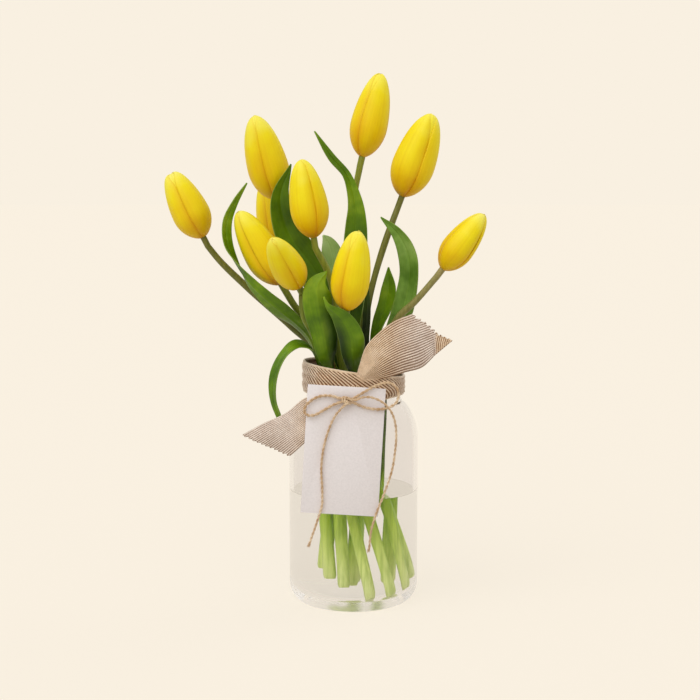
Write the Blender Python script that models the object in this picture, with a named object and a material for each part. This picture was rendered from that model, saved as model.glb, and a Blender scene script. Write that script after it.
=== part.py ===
"""Ten closed tulips in a glass jar of water, tied with burlap ribbon, a card and twine.

Sizes and places are in millimetres and become metres as each mesh is made. The origin is the middle
of the jar's flat base. +Z is up, -Y is the front and +X is to the right of the front view.
"""
import math

import bmesh
import bpy
import numpy as np
from mathutils import Matrix, Vector

MM = 0.001
GAP = 0.3

# The jar, with its heel and shoulder as parts of ellipses inside and outside
JAR_RADIUS = 48.4
JAR_HEIGHT = 178.0
JAR_BASE_RADIUS = 36.0
JAR_HEEL_TOP = 15.0
JAR_SHOULDER_Z = 121.0
SHOULDER_CENTRE = 30.4
SHOULDER_TALL = 33.0
SHOULDER_END = 71.0
INNER_SHOULDER_END = 82.0
JAR_NECK_RADIUS = 35.0
JAR_NECK_Z = 155.0
JAR_BEAD_RADIUS = 35.5
JAR_BEAD_Z = 160.0
JAR_BEAD_HALF = 2.0
JAR_RIM_ROUND = 2.0
JAR_WALL = 3.0
JAR_FLOOR = 7.0
INNER_HEEL_CENTRE = 33.0
INNER_HEEL_TOP = 20.0
JAR_MOUTH_RADIUS = 30.5
JAR_SIDES = 36
WATER_LEVEL = 85.0

# The stems, which thin from the mouth's height upwards
MOUTH_Z = 182.0
STEM_RADIUS = 3.25
STEM_NECK_RADIUS = 3.0
STEM_TAPER = 60.0
STEM_STEP = 20.0
STEM_NECK = 7.0

# The blooms: three outer petals over three inner ones
PETALS_PER_LAYER = 3
OUTER_HALF_ANGLE = math.radians(54)
SEAM_ANGLE = math.radians(3)
LAYER_STEP = 0.11
INNER_RIDGE = 0.6
PETAL_TUCK = 0.04
PETAL_TAPER = 0.75
SECTOR_POINTS = 8
OUTER_POINTS = 5
BUD_RINGS = 10
BUD_WIDEST = 0.37
BUD_BASE_ROUNDING = 0.62
BUD_TIP_ROUNDING = 1.7

# The leaves
LEAF_THICKNESS = 0.8
LEAF_ROOT_ARC = math.radians(100)
LEAF_ROOT_RUN = 9.0
LEAF_STEPS = 11
LEAF_COLUMNS = 4
LEAF_TIP_WIDTH = 0.8
LEAF_LEAST_CUP = 0.05

# The ribbon, the card and the twine
RIBBON_THICKNESS = 1.2
RIBBON_SLACK = 0.6
NECK_ROUNDING = 1.3
NECK_ROUNDING_TALL = 3.0
RIBBON_TOP_MIDDLE = 179.2
RIBBON_TOP_TILT = 6.6
RIBBON_FOOT_MIDDLE = 154.0
RIBBON_FOOT_TILT = 3.0
CARD_SIZE = (56.0, 93.5)
CARD_THICKNESS = 0.6
CARD_MIDDLE = (-7.6, 122.6)
CARD_TURN = math.radians(3.4)
CARD_BACK_Y = -48.8
CARD_HOLE_RADIUS = 1.7
TWINE_DIAMETER = 2.4
TWINE_KNOT = (-4.6, 159.6)
TWINE_KNOT_SIZE = (10.0, 6.0, 7.2)
TWINE_PASS = 2.6
TWINE_STEP = 2.5
PUNCH_REACH = 5.0

# How finely curves, rods and round bodies are drawn
CURVE_POINTS = 24
ROD_DETAIL = 2
PEG_DETAIL = 3
KNOT_SEGMENTS = 12
KNOT_RINGS = 8
SHARP_ANGLE = math.radians(35)
TOUCHING = 0.001

# The ten tulips: where each stem stands, leaves the mouth and bends, and its bloom's base and tip
TULIPS = [
    dict(name="tulip_01", foot=(-13, 2, 18), mouth=(-21, 12, MOUTH_Z),
         route=[(-47, 10, 207), (-80, 7, 237), (-102, 6, 259)],
         base=(-111.7, 5, 273.7), tip=(-135.7, 5, 321.7), width=28.5, spin=-58, open=0.25),
    dict(name="tulip_02", foot=(-5.5, -7, 13), mouth=(-12, 21, MOUTH_Z),
         route=[(-24, 27, 219), (-43, 27, 264)],
         base=(-58, 25, 302), tip=(-74, 12, 365), width=31.5, spin=19, open=0.0),
    dict(name="tulip_03", foot=(0, 22, 12), mouth=(7, 15, MOUTH_Z),
         route=[(7, 29, 219), (4, 38, 266), (1, 44, 305)],
         base=(6.6, 45, 334), tip=(21.3, 45, 398), width=29.0, spin=-25, open=0.05),
    dict(name="tulip_04", foot=(-1, 8, 12), mouth=(9, 6, MOUTH_Z),
         route=[(10, 8, 219), (15, 9.5, 241), (25.3, 12, 274.6)],
         base=(36.2, 15, 304), tip=(58.6, 10, 366), width=32.5, spin=37, open=0.05),
    dict(name="tulip_05", foot=(17, 17, 12), mouth=(24, 1, MOUTH_Z),
         route=[(27, 0, 200), (33.5, -1, 214.5), (45.5, -3, 226.5)],
         base=(65.5, -5, 250.5), tip=(96, -8, 292), width=24.5, spin=-54, open=0.0),
    dict(name="tulip_06", foot=(33, 5, 16), mouth=(-9, -5, MOUTH_Z),
         route=[(-13, -8, 216), (-18, -12, 247)],
         base=(-29, -15, 274), tip=(-38, -18, 332), width=28.5, spin=-50, open=0.0),
    dict(name="tulip_07", foot=(11, -24, 10.5), mouth=(-24, 0, MOUTH_Z),
         route=[(-36, -5, 213), (-45, -9, 226)],
         base=(-53, -12, 240), tip=(-84, -20, 294), width=28.5, spin=31, open=0.0),
    dict(name="tulip_08", foot=(25, -20, 11), mouth=(-21, -12, MOUTH_Z),
         route=[(-29, -18, 203), (-36.5, -23.5, 219)],
         base=(-39.7, -28, 239.3), tip=(-57.1, -64, 275.4), width=24.5, spin=18, open=0.0),
    dict(name="tulip_09", foot=(34, -9, 13), mouth=(-1, -23, MOUTH_Z),
         route=[(-4, -32, 204)],
         base=(-5.3, -44, 223), tip=(3.2, -50, 281), width=28.5, spin=15, open=0.05),
    dict(name="tulip_10", foot=(-15.5, 10, 24), mouth=(-1, 24, MOUTH_Z),
         route=[(-22, 36, 211), (-38, 49, 237)],
         base=(-58, 56, 262), tip=(-68, 60, 320), width=27.0, spin=-55, open=0.0),
]

# The ten leaves: the stem each clasps and on which side, then rows of place, width, cup in degrees
# and the way its hollow face looks
LEAVES = [
    dict(name="leaf_left_long", stem=6, side=200, root=162, rows=[
        (-34.6, -8.5, 202.8, 10, 50, 0.5, 0.8, 0.4), (-41.5, -12.5, 210.4, 12.5, 50, 0.5, 0.8, 0.4),
        (-53, -18.5, 220.5, 15, 45, 0.3, 0.85, 0.4), (-64.6, -22.5, 230.9, 13, 45, 0.3, 0.8, 0.5),
        (-75.5, -23, 242, 11, 45, 0.5, 0.6, 0.5), (-84.2, -22, 254.1, 10, 50, 0.8, 0.1, 0.5),
        (-91.5, -20, 268.6, 10, 50, 0.8, -0.5, 0.3), (-92.3, -17, 286.7, 9, 45, 0.7, -0.7, 0.0),
        (-86.9, -14, 299.7, 6, 30, 0.7, -0.7, -0.2), (-77.9, -11, 314.2, 1, 20, 0.6, -0.7, -0.3)]),
    dict(name="leaf_left_drooping", stem=7, side=200, root=162, rows=[
        (-26.0, -14.5, 182, 7, 80, 0.9, 0.4, 0.1),
        (-31, -19, 192.5, 9, 50, 0.5, 0.0, 0.8), (-41.0, -24.5, 197, 10, 40, 0.1, -0.5, 0.9),
        (-49.2, -30.5, 191.5, 10, 40, -0.4, -0.5, 0.7), (-55.4, -34, 181.5, 9.5, 35, -0.7, -0.6, 0.3),
        (-58.2, -35.5, 171.4, 9, 30, -0.8, -0.6, 0.0),
        (-57.8, -37, 156.1, 6.5, 20, -0.7, -0.7, -0.1), (-54.3, -36.5, 146, 5.5, 15, -0.6, -0.7, -0.2),
        (-49.5, -36, 134, 1, 10, -0.6, -0.7, -0.2)]),
    dict(name="leaf_dark_broad", stem=5, side=90, root=162, rows=[
        (-20, 3, 207, 11, 60, 0.2, -1.0, 0.0), (-21.3, 5, 227.3, 14, 55, 0.2, -1.0, 0.0),
        (-27.3, 7, 251.1, 16, 50, 0.2, -1.0, 0.0), (-40.0, 7, 266, 17, 50, 0.2, -1.0, 0.0),
        (-51.1, 7, 283.2, 16, 45, 0.2, -1.0, 0.0), (-55.0, 5, 303.9, 13, 40, 0.2, -1.0, 0.0),
        (-46.2, 3, 328.2, 1, 20, 0.2, -1.0, 0.0)]),
    dict(name="leaf_tall", stem=2, side=180, root=162, rows=[
        (-1.5, 15.5, 189, 9, 70, 0.8, -0.6, 0.0), (-1.5, 17.5, 207.2, 13, 60, 0.4, -0.9, 0.0),
        (0.5, 21, 233.5, 17.5, 55, 0.1, -1.0, 0.0), (1.2, 24, 263.8, 19, 50, 0.1, -1.0, 0.0),
        (1.8, 25, 284, 16.5, 50, 0.2, -1.0, 0.0), (1.6, 25, 296, 13, 50, 0.3, -1.0, 0.0),
        (-0.8, 25, 308.4, 9.8, 50, 0.4, -1.0, 0.0), (-5.4, 25, 320.7, 6.8, 45, 0.4, -1.0, -0.1),
        (-15.9, 23.5, 332.9, 6.1, 35, 0.3, -1.0, -0.1), (-29.3, 21, 353, 1, 20, 0.3, -1.0, -0.2)]),
    dict(name="leaf_pale_back", stem=9, side=60, root=162, rows=[
        (0.0, 29.5, 188, 8, 70, -0.5, -0.9, 0.0), (-7.5, 35, 209.6, 9, 50, 0.0, -1.0, 0.0),
        (-14.2, 39, 236.2, 13, 45, 0.1, -1.0, 0.0), (-16.5, 42, 258, 15, 40, 0.1, -1.0, 0.0),
        (-17.0, 42, 270, 11, 30, 0.1, -1.0, 0.0), (-17.5, 42, 276, 2, 20, 0.1, -1.0, 0.0)]),
    dict(name="leaf_right_arching", stem=4, side=110, root=162, rows=[
        (24, 8, 190, 9, 70, 0.1, -1.0, 0.0), (30.5, 8.5, 205, 13, 60, 0.0, -1.0, 0.0),
        (37.4, 7.5, 220.6, 16.5, 55, -0.2, -1.0, 0.0), (39.9, 6, 231.6, 16.5, 55, -0.3, -1.0, 0.0),
        (41.9, 3, 247.4, 15.5, 50, -0.4, -0.9, 0.1), (40.8, 0, 259.5, 15, 45, -0.4, -0.9, 0.1),
        (36.7, -3, 270.4, 12, 40, -0.3, -0.9, 0.1), (32, -5, 277.6, 9, 35, -0.3, -0.9, 0.0),
        (20, -8, 289.3, 1, 20, -0.2, -0.9, -0.1)]),
    dict(name="leaf_right_small", stem=3, side=354, root=162, rows=[
        (19.2, 13, 209, 10, 60, -0.5, -0.9, 0.0), (24.1, 13.5, 222.5, 12, 50, -0.3, -1.0, 0.0),
        (26.6, 12.5, 234.7, 11.5, 40, -0.2, -1.0, 0.0), (26.3, 11, 251.5, 1, 20, -0.2, -1.0, 0.0)]),
    dict(name="leaf_front_broad", stem=7, side=320, root=162, rows=[
        (-19.5, -26.5, 192, 16.5, 60, -0.1, 1.0, 0.1), (-21.9, -33.5, 208.8, 21, 60, 0.0, 1.0, 0.2),
        (-24.7, -38, 220.9, 22.4, 60, 0.0, 1.0, 0.1), (-26.2, -41, 231.5, 22, 55, 0.0, 1.0, 0.1),
        (-26.6, -42, 238.5, 18.5, 50, 0.0, 1.0, 0.0), (-24.2, -42, 245, 11, 40, 0.0, 1.0, 0.0),
        (-19.1, -42, 249, 1, 30, 0.0, 1.0, 0.0)]),
    dict(name="leaf_front_curled", stem=8, side=285, root=162, rows=[
        (-0.8, -36, 191.5, 17, 60, 0.0, 1.0, 0.1), (-1.5, -42, 201.9, 19, 60, 0.0, 1.0, 0.3),
        (-5.3, -46.5, 212.3, 16.7, 55, 0.0, 1.0, 0.3), (-10.5, -50.5, 220.1, 12, 50, 0.1, 0.9, 0.3),
        (-16.4, -53, 225.4, 6, 40, 0.2, 0.9, 0.3), (-21.3, -54.5, 229.5, 1, 30, 0.2, 0.9, 0.3)]),
    dict(name="leaf_narrow_back", stem=3, side=243, root=162, rows=[
        (7.6, 0.9, 184, 7, 70, 0.2, 1.0, 0.0), (8.6, 0.5, 196, 6, 60, 0.1, 1.0, 0.0),
        (9.5, 0.8, 209, 6, 50, 0.0, 1.0, 0.0), (10.2, 1.0, 223.8, 5, 40, 0.0, 1.0, 0.0),
        (10.9, 1.0, 237, 1, 20, 0.0, 1.0, 0.0)]),
]

# The ribbon's knot and the long edges of its two tails, from the knot to the cut end
RIBBON_KNOT_MIDDLE = (-1.0, -42.5, 161)
RIBBON_KNOT_HALF = (13.0, 6.0, 9.0)
RIGHT_TAIL_UPPER = [(0, -43.5, 170), (4.5, -44, 185), (8.9, -43.5, 197.5), (17.5, -41, 206.9),
                    (29.1, -40, 215.5), (43.3, -38, 220.8)]
RIGHT_TAIL_LOWER = [(8, -43, 164), (15.4, -43, 174), (29.2, -42, 177.5), (37.1, -41, 178.9),
                    (50.2, -39, 181.3), (58.1, -38, 189.2), (71.5, -36, 200.6)]
LEFT_TAIL_UPPER = [(-6, -44, 165), (-20, -45.5, 164.5), (-34.2, -46, 161), (-49.1, -45, 149.5),
                   (-66.2, -43, 141.1), (-81.6, -41, 132)]
LEFT_TAIL_LOWER = [(-6, -44, 155), (-20, -45.5, 141), (-35.8, -46, 127.8), (-46.7, -45, 117.7)]

TWINE_ROUTES = {
    "twine_loop_left": [
        (-10.0, -51.9, 161.2), (-16, -51.4, 162.8), (-24.7, -51.2, 162.3), (-30.5, -51.4, 159.4),
        (-34.2, -52, 155.6), (-35.2, -52.2, 151.6), (-32.4, -52, 148.9), (-28.6, -51.6, 148.9),
        (-21.9, -51.3, 152.2), (-15.5, -51.4, 155.8), (-10.2, -51.9, 158.2)],
    "twine_loop_right": [
        (0.4, -51.9, 161.4), (8.1, -51.5, 166), (17.5, -51.2, 170.9), (25.6, -51.4, 172.3),
        (30.4, -51.8, 169), (32.1, -52, 163.7), (30.6, -51.8, 158.4), (26.0, -51.4, 154.8),
        (19.5, -51.2, 153.3), (8.1, -51.4, 154.6), (0.5, -51.9, 157.6)],
    "twine_tail_right": [
        (0.4, -55.0, 160.2), (8.1, -55.2, 162.6), (16.7, -55.2, 161), (22.4, -55.2, 157.4),
        (26.6, -54.8, 152.3), (29.4, -54, 145), (30.4, -53, 137.5), (29.7, -52, 122.8),
        (27.6, -51.6, 109), (21.9, -51.2, 91.4), (15.5, -51.2, 74.5), (12.6, -51, 63.9), (11.2, -51, 50.8)],
    "twine_tail_left": [
        (-7.6, -52.9, 155.2), (-11.0, -52.6, 151.6), (-14.0, -51.8, 147), (-19.1, -51.2, 134.5),
        (-22.0, -51.1, 122.8), (-23.2, -51.1, 112), (-22.6, -51.1, 91.4), (-22.8, -51.1, 83.3),
        (-25.3, -51, 74.5), (-32.0, -50.5, 54.5)],
}


def smooth_rows(rows, count):
    """Evenly spaced rows along a smooth curve through the given rows, which start with x, y and z."""
    rows = np.array(rows, dtype=float)
    lengths = np.linalg.norm(np.diff(rows[:, :3], axis=0), axis=1)
    knots = np.concatenate(([0.0], np.cumsum(lengths)))
    slopes = np.gradient(rows, knots, axis=0)
    fine = []
    for start in range(len(rows) - 1):
        span = knots[start + 1] - knots[start]
        for part in np.linspace(0.0, 1.0, CURVE_POINTS, endpoint=start == len(rows) - 2):
            square, cube = part * part, part * part * part
            fine.append(
                (2 * cube - 3 * square + 1) * rows[start]
                + (cube - 2 * square + part) * span * slopes[start]
                + (3 * square - 2 * cube) * rows[start + 1]
                + (cube - square) * span * slopes[start + 1]
            )
    fine = np.array(fine)
    run = np.concatenate(([0.0], np.cumsum(np.linalg.norm(np.diff(fine[:, :3], axis=0), axis=1))))
    places = np.linspace(0.0, run[-1], count)
    return np.stack([np.interp(places, run, column) for column in fine.T], axis=1)


def material(name, colour, roughness, transmission=0.0):
    made = bpy.data.materials.new(name)
    made.use_nodes = True
    shader = made.node_tree.nodes["Principled BSDF"]
    shader.inputs["Base Color"].default_value = (*colour, 1.0)
    shader.inputs["Roughness"].default_value = roughness
    shader.inputs["Metallic"].default_value = 0.0
    shader.inputs["Transmission Weight"].default_value = transmission
    return made


GLASS = material("clear_glass", (0.92, 0.95, 0.93), 0.04, 0.95)
WATER = material("water", (0.94, 0.96, 0.92), 0.02, 0.95)
STEM_GREEN = material("stem_green", (0.19, 0.29, 0.05), 0.5)
LEAF_GREEN = material("leaf_green", (0.08, 0.19, 0.03), 0.5)
PETAL_YELLOW = material("petal_yellow", (0.86, 0.66, 0.02), 0.5)
BURLAP = material("burlap", (0.45, 0.34, 0.22), 0.95)
CARD_WHITE = material("card_white", (0.76, 0.73, 0.70), 0.8)
JUTE = material("jute", (0.50, 0.36, 0.20), 0.9)


def place(name, mesh, finish):
    """Put a mesh in the scene under its node's name, shaded smooth except at its sharp edges."""
    if not mesh.materials:
        mesh.materials.append(finish)
    mesh.shade_smooth()
    mesh.set_sharp_from_angle(angle=SHARP_ANGLE)
    made = bpy.data.objects.new(name, mesh)
    bpy.context.collection.objects.link(made)
    return made


def mesh_from(shape, name):
    """Turn a bmesh in millimetres into a mesh in metres."""
    bmesh.ops.scale(shape, vec=(MM, MM, MM), verts=shape.verts)
    mesh = bpy.data.meshes.new(name)
    shape.to_mesh(mesh)
    shape.free()
    return mesh


def bake(made):
    """Apply an object's modifiers, or turn a curve into a mesh, and drop what it was made from."""
    graph = bpy.context.evaluated_depsgraph_get()
    mesh = bpy.data.meshes.new_from_object(made.evaluated_get(graph))
    name = made.name
    finish = made.data.materials[0]
    bpy.data.objects.remove(made)
    return place(name, mesh, finish)


def keep_outer_shell(mesh):
    """Keep the shell with the most faces, so that a hollow sealed inside a joint is filled."""
    shape = bmesh.new()
    shape.from_mesh(mesh)
    waiting = set(shape.faces)
    shells = []
    while waiting:
        reached = [waiting.pop()]
        for face in reached:
            near = {other for edge in face.edges for other in edge.link_faces} & waiting
            waiting -= near
            reached.extend(near)
        shells.append(reached)
    outer = max(shells, key=len)
    spare = [face for shell in shells if shell is not outer for face in shell]
    bmesh.ops.delete(shape, geom=spare, context="FACES")
    shape.to_mesh(mesh)
    shape.free()


def fuse(name, pieces):
    """Join closed pieces that overlap into one closed body."""
    rest = bpy.data.collections.new(name + "_pieces")
    bpy.context.scene.collection.children.link(rest)
    body = pieces[0]
    for piece in pieces[1:]:
        bpy.context.collection.objects.unlink(piece)
        rest.objects.link(piece)
    join = body.modifiers.new("join", "BOOLEAN")
    join.operation = "UNION"
    join.operand_type = "COLLECTION"
    join.collection = rest
    join.solver = "EXACT"
    body = bake(body)
    for piece in list(rest.objects):
        bpy.data.objects.remove(piece)
    bpy.data.collections.remove(rest)
    keep_outer_shell(body.data)
    body.name = name
    return body


def turned(name, outline, sides, finish):
    """Turn an outline of (radius, height) points, from the axis back to the axis, once round Z."""
    shape = bmesh.new()
    corners = [shape.verts.new((radius, 0.0, height)) for radius, height in outline]
    edges = [shape.edges.new(pair) for pair in zip(corners, corners[1:])]
    bmesh.ops.spin(
        shape, geom=corners + edges, cent=(0, 0, 0), axis=(0, 0, 1), dvec=(0, 0, 0),
        angle=2 * math.pi, steps=sides, use_merge=True, use_duplicate=False,
    )
    bmesh.ops.remove_doubles(shape, verts=shape.verts, dist=TOUCHING)
    bmesh.ops.dissolve_degenerate(shape, edges=shape.edges, dist=TOUCHING)
    bmesh.ops.recalc_face_normals(shape, faces=shape.faces)
    return place(name, mesh_from(shape, name), finish)


def sheet(name, columns, rows, surface, thickness, finish):
    """A thin closed sheet. surface(along, across) gives its middle, both running from 0 to 1."""
    shape = bmesh.new()
    bmesh.ops.create_grid(shape, x_segments=columns, y_segments=rows, size=0.5)
    for corner in shape.verts:
        corner.co = surface(corner.co.x + 0.5, corner.co.y + 0.5)
    bmesh.ops.remove_doubles(shape, verts=shape.verts, dist=TOUCHING)
    bmesh.ops.triangulate(shape, faces=shape.faces, quad_method="FIXED")
    made = place(name, mesh_from(shape, name), finish)
    wall = made.modifiers.new("thickness", "SOLIDIFY")
    wall.thickness = thickness * MM
    wall.offset = 0.0
    return bake(made)


def rod(name, centres, radii, finish, detail):
    """A round rod along the given centres, as a curve with a bevel and closed ends."""
    route = bpy.data.curves.new(name, "CURVE")
    route.dimensions = "3D"
    route.bevel_depth = MM
    route.bevel_resolution = detail
    route.use_fill_caps = True
    line = route.splines.new("POLY")
    line.points.add(len(centres) - 1)
    for point, centre, radius in zip(line.points, centres, radii):
        point.co = (centre[0] * MM, centre[1] * MM, centre[2] * MM, 1.0)
        point.radius = radius
    route.materials.append(finish)
    made = bpy.data.objects.new(name, route)
    bpy.context.collection.objects.link(made)
    return made


def quarter(centre_radius, centre_z, wide, tall, start, end, count):
    """(radius, height) points on part of an ellipse, its angles in degrees from straight out."""
    angles = np.radians(np.linspace(start, end, count))
    return [(centre_radius + wide * math.cos(a), centre_z + tall * math.sin(a)) for a in angles]


def make_jar():
    """The glass: a flat base, a rounded heel, straight sides, a shoulder, a beaded neck and a rim."""
    heel = quarter(JAR_BASE_RADIUS, JAR_HEEL_TOP, JAR_RADIUS - JAR_BASE_RADIUS, JAR_HEEL_TOP, -90, 0, 6)
    shoulder = quarter(
        SHOULDER_CENTRE, JAR_SHOULDER_Z, JAR_RADIUS - SHOULDER_CENTRE, SHOULDER_TALL, 0, SHOULDER_END, 7
    )
    neck = [
        (JAR_NECK_RADIUS, JAR_NECK_Z),
        (JAR_NECK_RADIUS, JAR_BEAD_Z - JAR_BEAD_HALF),
        (JAR_BEAD_RADIUS, JAR_BEAD_Z),
        (JAR_NECK_RADIUS, JAR_BEAD_Z + JAR_BEAD_HALF),
        (JAR_NECK_RADIUS, JAR_HEIGHT - JAR_RIM_ROUND),
        (JAR_NECK_RADIUS - 0.8 * JAR_RIM_ROUND, JAR_HEIGHT),
        (JAR_MOUTH_RADIUS + 0.5 * JAR_RIM_ROUND, JAR_HEIGHT),
        (JAR_MOUTH_RADIUS, JAR_HEIGHT - 0.8 * JAR_RIM_ROUND),
        (JAR_MOUTH_RADIUS, JAR_NECK_Z - JAR_WALL / 3),
    ]
    inner_radius = JAR_RADIUS - JAR_WALL
    inner_shoulder = quarter(
        SHOULDER_CENTRE, JAR_SHOULDER_Z, inner_radius - SHOULDER_CENTRE, SHOULDER_TALL - JAR_WALL,
        INNER_SHOULDER_END, 0, 6
    )
    inner_heel = quarter(
        INNER_HEEL_CENTRE, INNER_HEEL_TOP, inner_radius - INNER_HEEL_CENTRE, INNER_HEEL_TOP - JAR_FLOOR,
        0, -90, 5
    )
    outline = [(0.0, 0.0)] + heel + shoulder + neck + inner_shoulder + inner_heel + [(0.0, JAR_FLOOR)]
    return turned("jar", outline, JAR_SIDES, GLASS)


def jar_outside(height):
    """The jar's outer radius at a height on its neck or shoulder."""
    if height > JAR_NECK_Z:
        return JAR_BEAD_RADIUS
    if height > JAR_NECK_Z - NECK_ROUNDING_TALL:
        return JAR_NECK_RADIUS + NECK_ROUNDING
    rise = (height - JAR_SHOULDER_Z) / SHOULDER_TALL
    return SHOULDER_CENTRE + (JAR_RADIUS - SHOULDER_CENTRE) * math.sqrt(1.0 - rise * rise)


def stem_rows(tulip):
    """The stem's centres, from its cut foot up through the mouth to just under its bloom."""
    base, tip = Vector(tulip["base"]), Vector(tulip["tip"])
    axis = (tip - base).normalized()
    foot, mouth = Vector(tulip["foot"]), Vector(tulip["mouth"])
    straight = [foot.lerp(mouth, share) for share in (0.0, 0.33, 0.66, 1.0)]
    route = straight + [Vector(place) for place in tulip["route"]] + [base - axis * STEM_NECK]
    length = sum((b - a).length for a, b in zip(route, route[1:]))
    return np.vstack((smooth_rows(route, round(length / STEM_STEP)), base - axis * GAP))


def make_stem(tulip):
    centres = stem_rows(tulip)
    radii = np.interp(centres[:, 2], (MOUTH_Z, MOUTH_Z + STEM_TAPER), (STEM_RADIUS, STEM_NECK_RADIUS))
    return rod(tulip["name"] + "_stem", centres, radii, STEM_GREEN, ROD_DETAIL)


def make_water(tulips):
    """The water, up to its level inside the glass, with a plain hole where each stem stands in it."""
    radius = JAR_RADIUS - JAR_WALL - GAP
    heel = quarter(INNER_HEEL_CENTRE, INNER_HEEL_TOP, radius - INNER_HEEL_CENTRE,
                   INNER_HEEL_TOP - JAR_FLOOR - GAP, -90, 0, 5)
    outline = [(0.0, JAR_FLOOR + GAP)] + heel + [(radius, WATER_LEVEL), (0.0, WATER_LEVEL)]
    water = turned("water", outline, JAR_SIDES, WATER)
    holes = bpy.data.collections.new("stem_holes")
    bpy.context.scene.collection.children.link(holes)
    for tulip in tulips:
        centres = stem_rows(tulip)
        centres = centres[: int(np.searchsorted(centres[:, 2], WATER_LEVEL)) + 2]
        down = Vector(centres[0] - centres[1]).normalized()
        centres[0] += np.array(down) * GAP
        hole = rod("hole", centres, [STEM_RADIUS + GAP] * len(centres), WATER, ROD_DETAIL)
        hole = bake(hole)
        bpy.context.collection.objects.unlink(hole)
        holes.objects.link(hole)
    cut = water.modifiers.new("stem holes", "BOOLEAN")
    cut.operation = "DIFFERENCE"
    cut.operand_type = "COLLECTION"
    cut.collection = holes
    cut.solver = "EXACT"
    water = bake(water)
    water.name = "water"
    for hole in list(holes.objects):
        bpy.data.objects.remove(hole)
    bpy.data.collections.remove(holes)
    return water


def bud_profile(along):
    """How wide a closed bud is, as a share of its widest, from its base (0) to its tip (1)."""
    if along < BUD_WIDEST:
        return max(1.0 - (1.0 - along / BUD_WIDEST) ** 2, 0.0) ** BUD_BASE_ROUNDING
    return math.sqrt(max(1.0 - ((along - BUD_WIDEST) / (1.0 - BUD_WIDEST)) ** BUD_TIP_ROUNDING, 0.0))


def bud_frame(tulip):
    """The turn and place that take a bud drawn upright at the origin to its place on its stem."""
    base, tip = Vector(tulip["base"]), Vector(tulip["tip"])
    turn = (tip - base).to_track_quat("Z", "Y").to_matrix().to_4x4()
    return Matrix.Translation(base) @ turn @ Matrix.Rotation(math.radians(tulip["spin"]), 4, "Z")


def make_bloom(tulip):
    """A closed bloom: three outer petals stand proud of three inner ones, which show between them."""
    length = (Vector(tulip["tip"]) - Vector(tulip["base"])).length
    radius = tulip["width"] / 2
    sector = 2 * math.pi / PETALS_PER_LAYER
    shape = bmesh.new()
    bmesh.ops.create_uvsphere(
        shape, u_segments=PETALS_PER_LAYER * SECTOR_POINTS, v_segments=BUD_RINGS, radius=1.0
    )
    for corner in shape.verts:
        along = (1.0 + corner.co.z) / 2
        turn = math.atan2(corner.co.y, corner.co.x) / (2 * math.pi) * PETALS_PER_LAYER * SECTOR_POINTS
        petal, point = divmod(round(turn), SECTOR_POINTS)
        half = OUTER_HALF_ANGLE * (1.0 - PETAL_TAPER * along ** 4)
        if point < OUTER_POINTS:
            side = 2 * point / (OUTER_POINTS - 1) - 1
            angle = side * half
            share = 1.0 - PETAL_TUCK * side * side
            flare = tulip["open"] * along ** 6 * (1.0 - 0.5 * side * side)
        else:
            step = point - OUTER_POINTS
            angle = (half + SEAM_ANGLE, sector / 2, sector - half - SEAM_ANGLE)[step]
            share = 1.0 - LAYER_STEP * (1.0, INNER_RIDGE, 1.0)[step]
            flare = 0.0
        angle += petal * sector
        wide = radius * (bud_profile(along) * share + flare) if 0.001 < along < 0.999 else 0.0
        corner.co = (wide * math.cos(angle), wide * math.sin(angle), along * length)
    bmesh.ops.transform(shape, matrix=bud_frame(tulip), verts=shape.verts)
    return place(tulip["name"] + "_bloom", mesh_from(shape, "bloom"), PETAL_YELLOW)


def make_leaf(leaf, tulips):
    """A blade that clasps its stem inside the neck and opens as it leaves the mouth."""
    stem = stem_rows(tulips[leaf["stem"]])
    side = math.radians(leaf["side"])
    out = np.array((math.cos(side), math.sin(side), 0.0))
    clasp = STEM_RADIUS + 1.5 * GAP + LEAF_THICKNESS / 2
    root_width = clasp * LEAF_ROOT_ARC
    rows = []
    for height in (leaf["root"], leaf["root"] + LEAF_ROOT_RUN):
        centre = np.array([np.interp(height, stem[:, 2], column) for column in stem[:, :3].T])
        rows.append((*(centre + out * clasp), root_width, math.degrees(LEAF_ROOT_ARC), *(-out)))
    rows += leaf["rows"]
    rows = smooth_rows(rows, LEAF_STEPS + 1)

    def surface(along, across):
        step = round(along * LEAF_STEPS)
        row = rows[step]
        before, after = rows[max(step - 1, 0)], rows[min(step + 1, LEAF_STEPS)]
        run = Vector(after[:3] - before[:3]).normalized()
        face = Vector(row[5:8])
        face = (face - run * face.dot(run)).normalized()
        beside = run.cross(face)
        cup = max(math.radians(row[4]), LEAF_LEAST_CUP)
        bend = max(row[3], LEAF_TIP_WIDTH) / cup
        angle = (across - 0.5) * cup
        spine = Vector(row[:3])
        return spine + beside * (bend * math.sin(angle)) + face * (bend * (1.0 - math.cos(angle)))

    return sheet(leaf["name"], LEAF_STEPS, LEAF_COLUMNS, surface, LEAF_THICKNESS, LEAF_GREEN)


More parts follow.
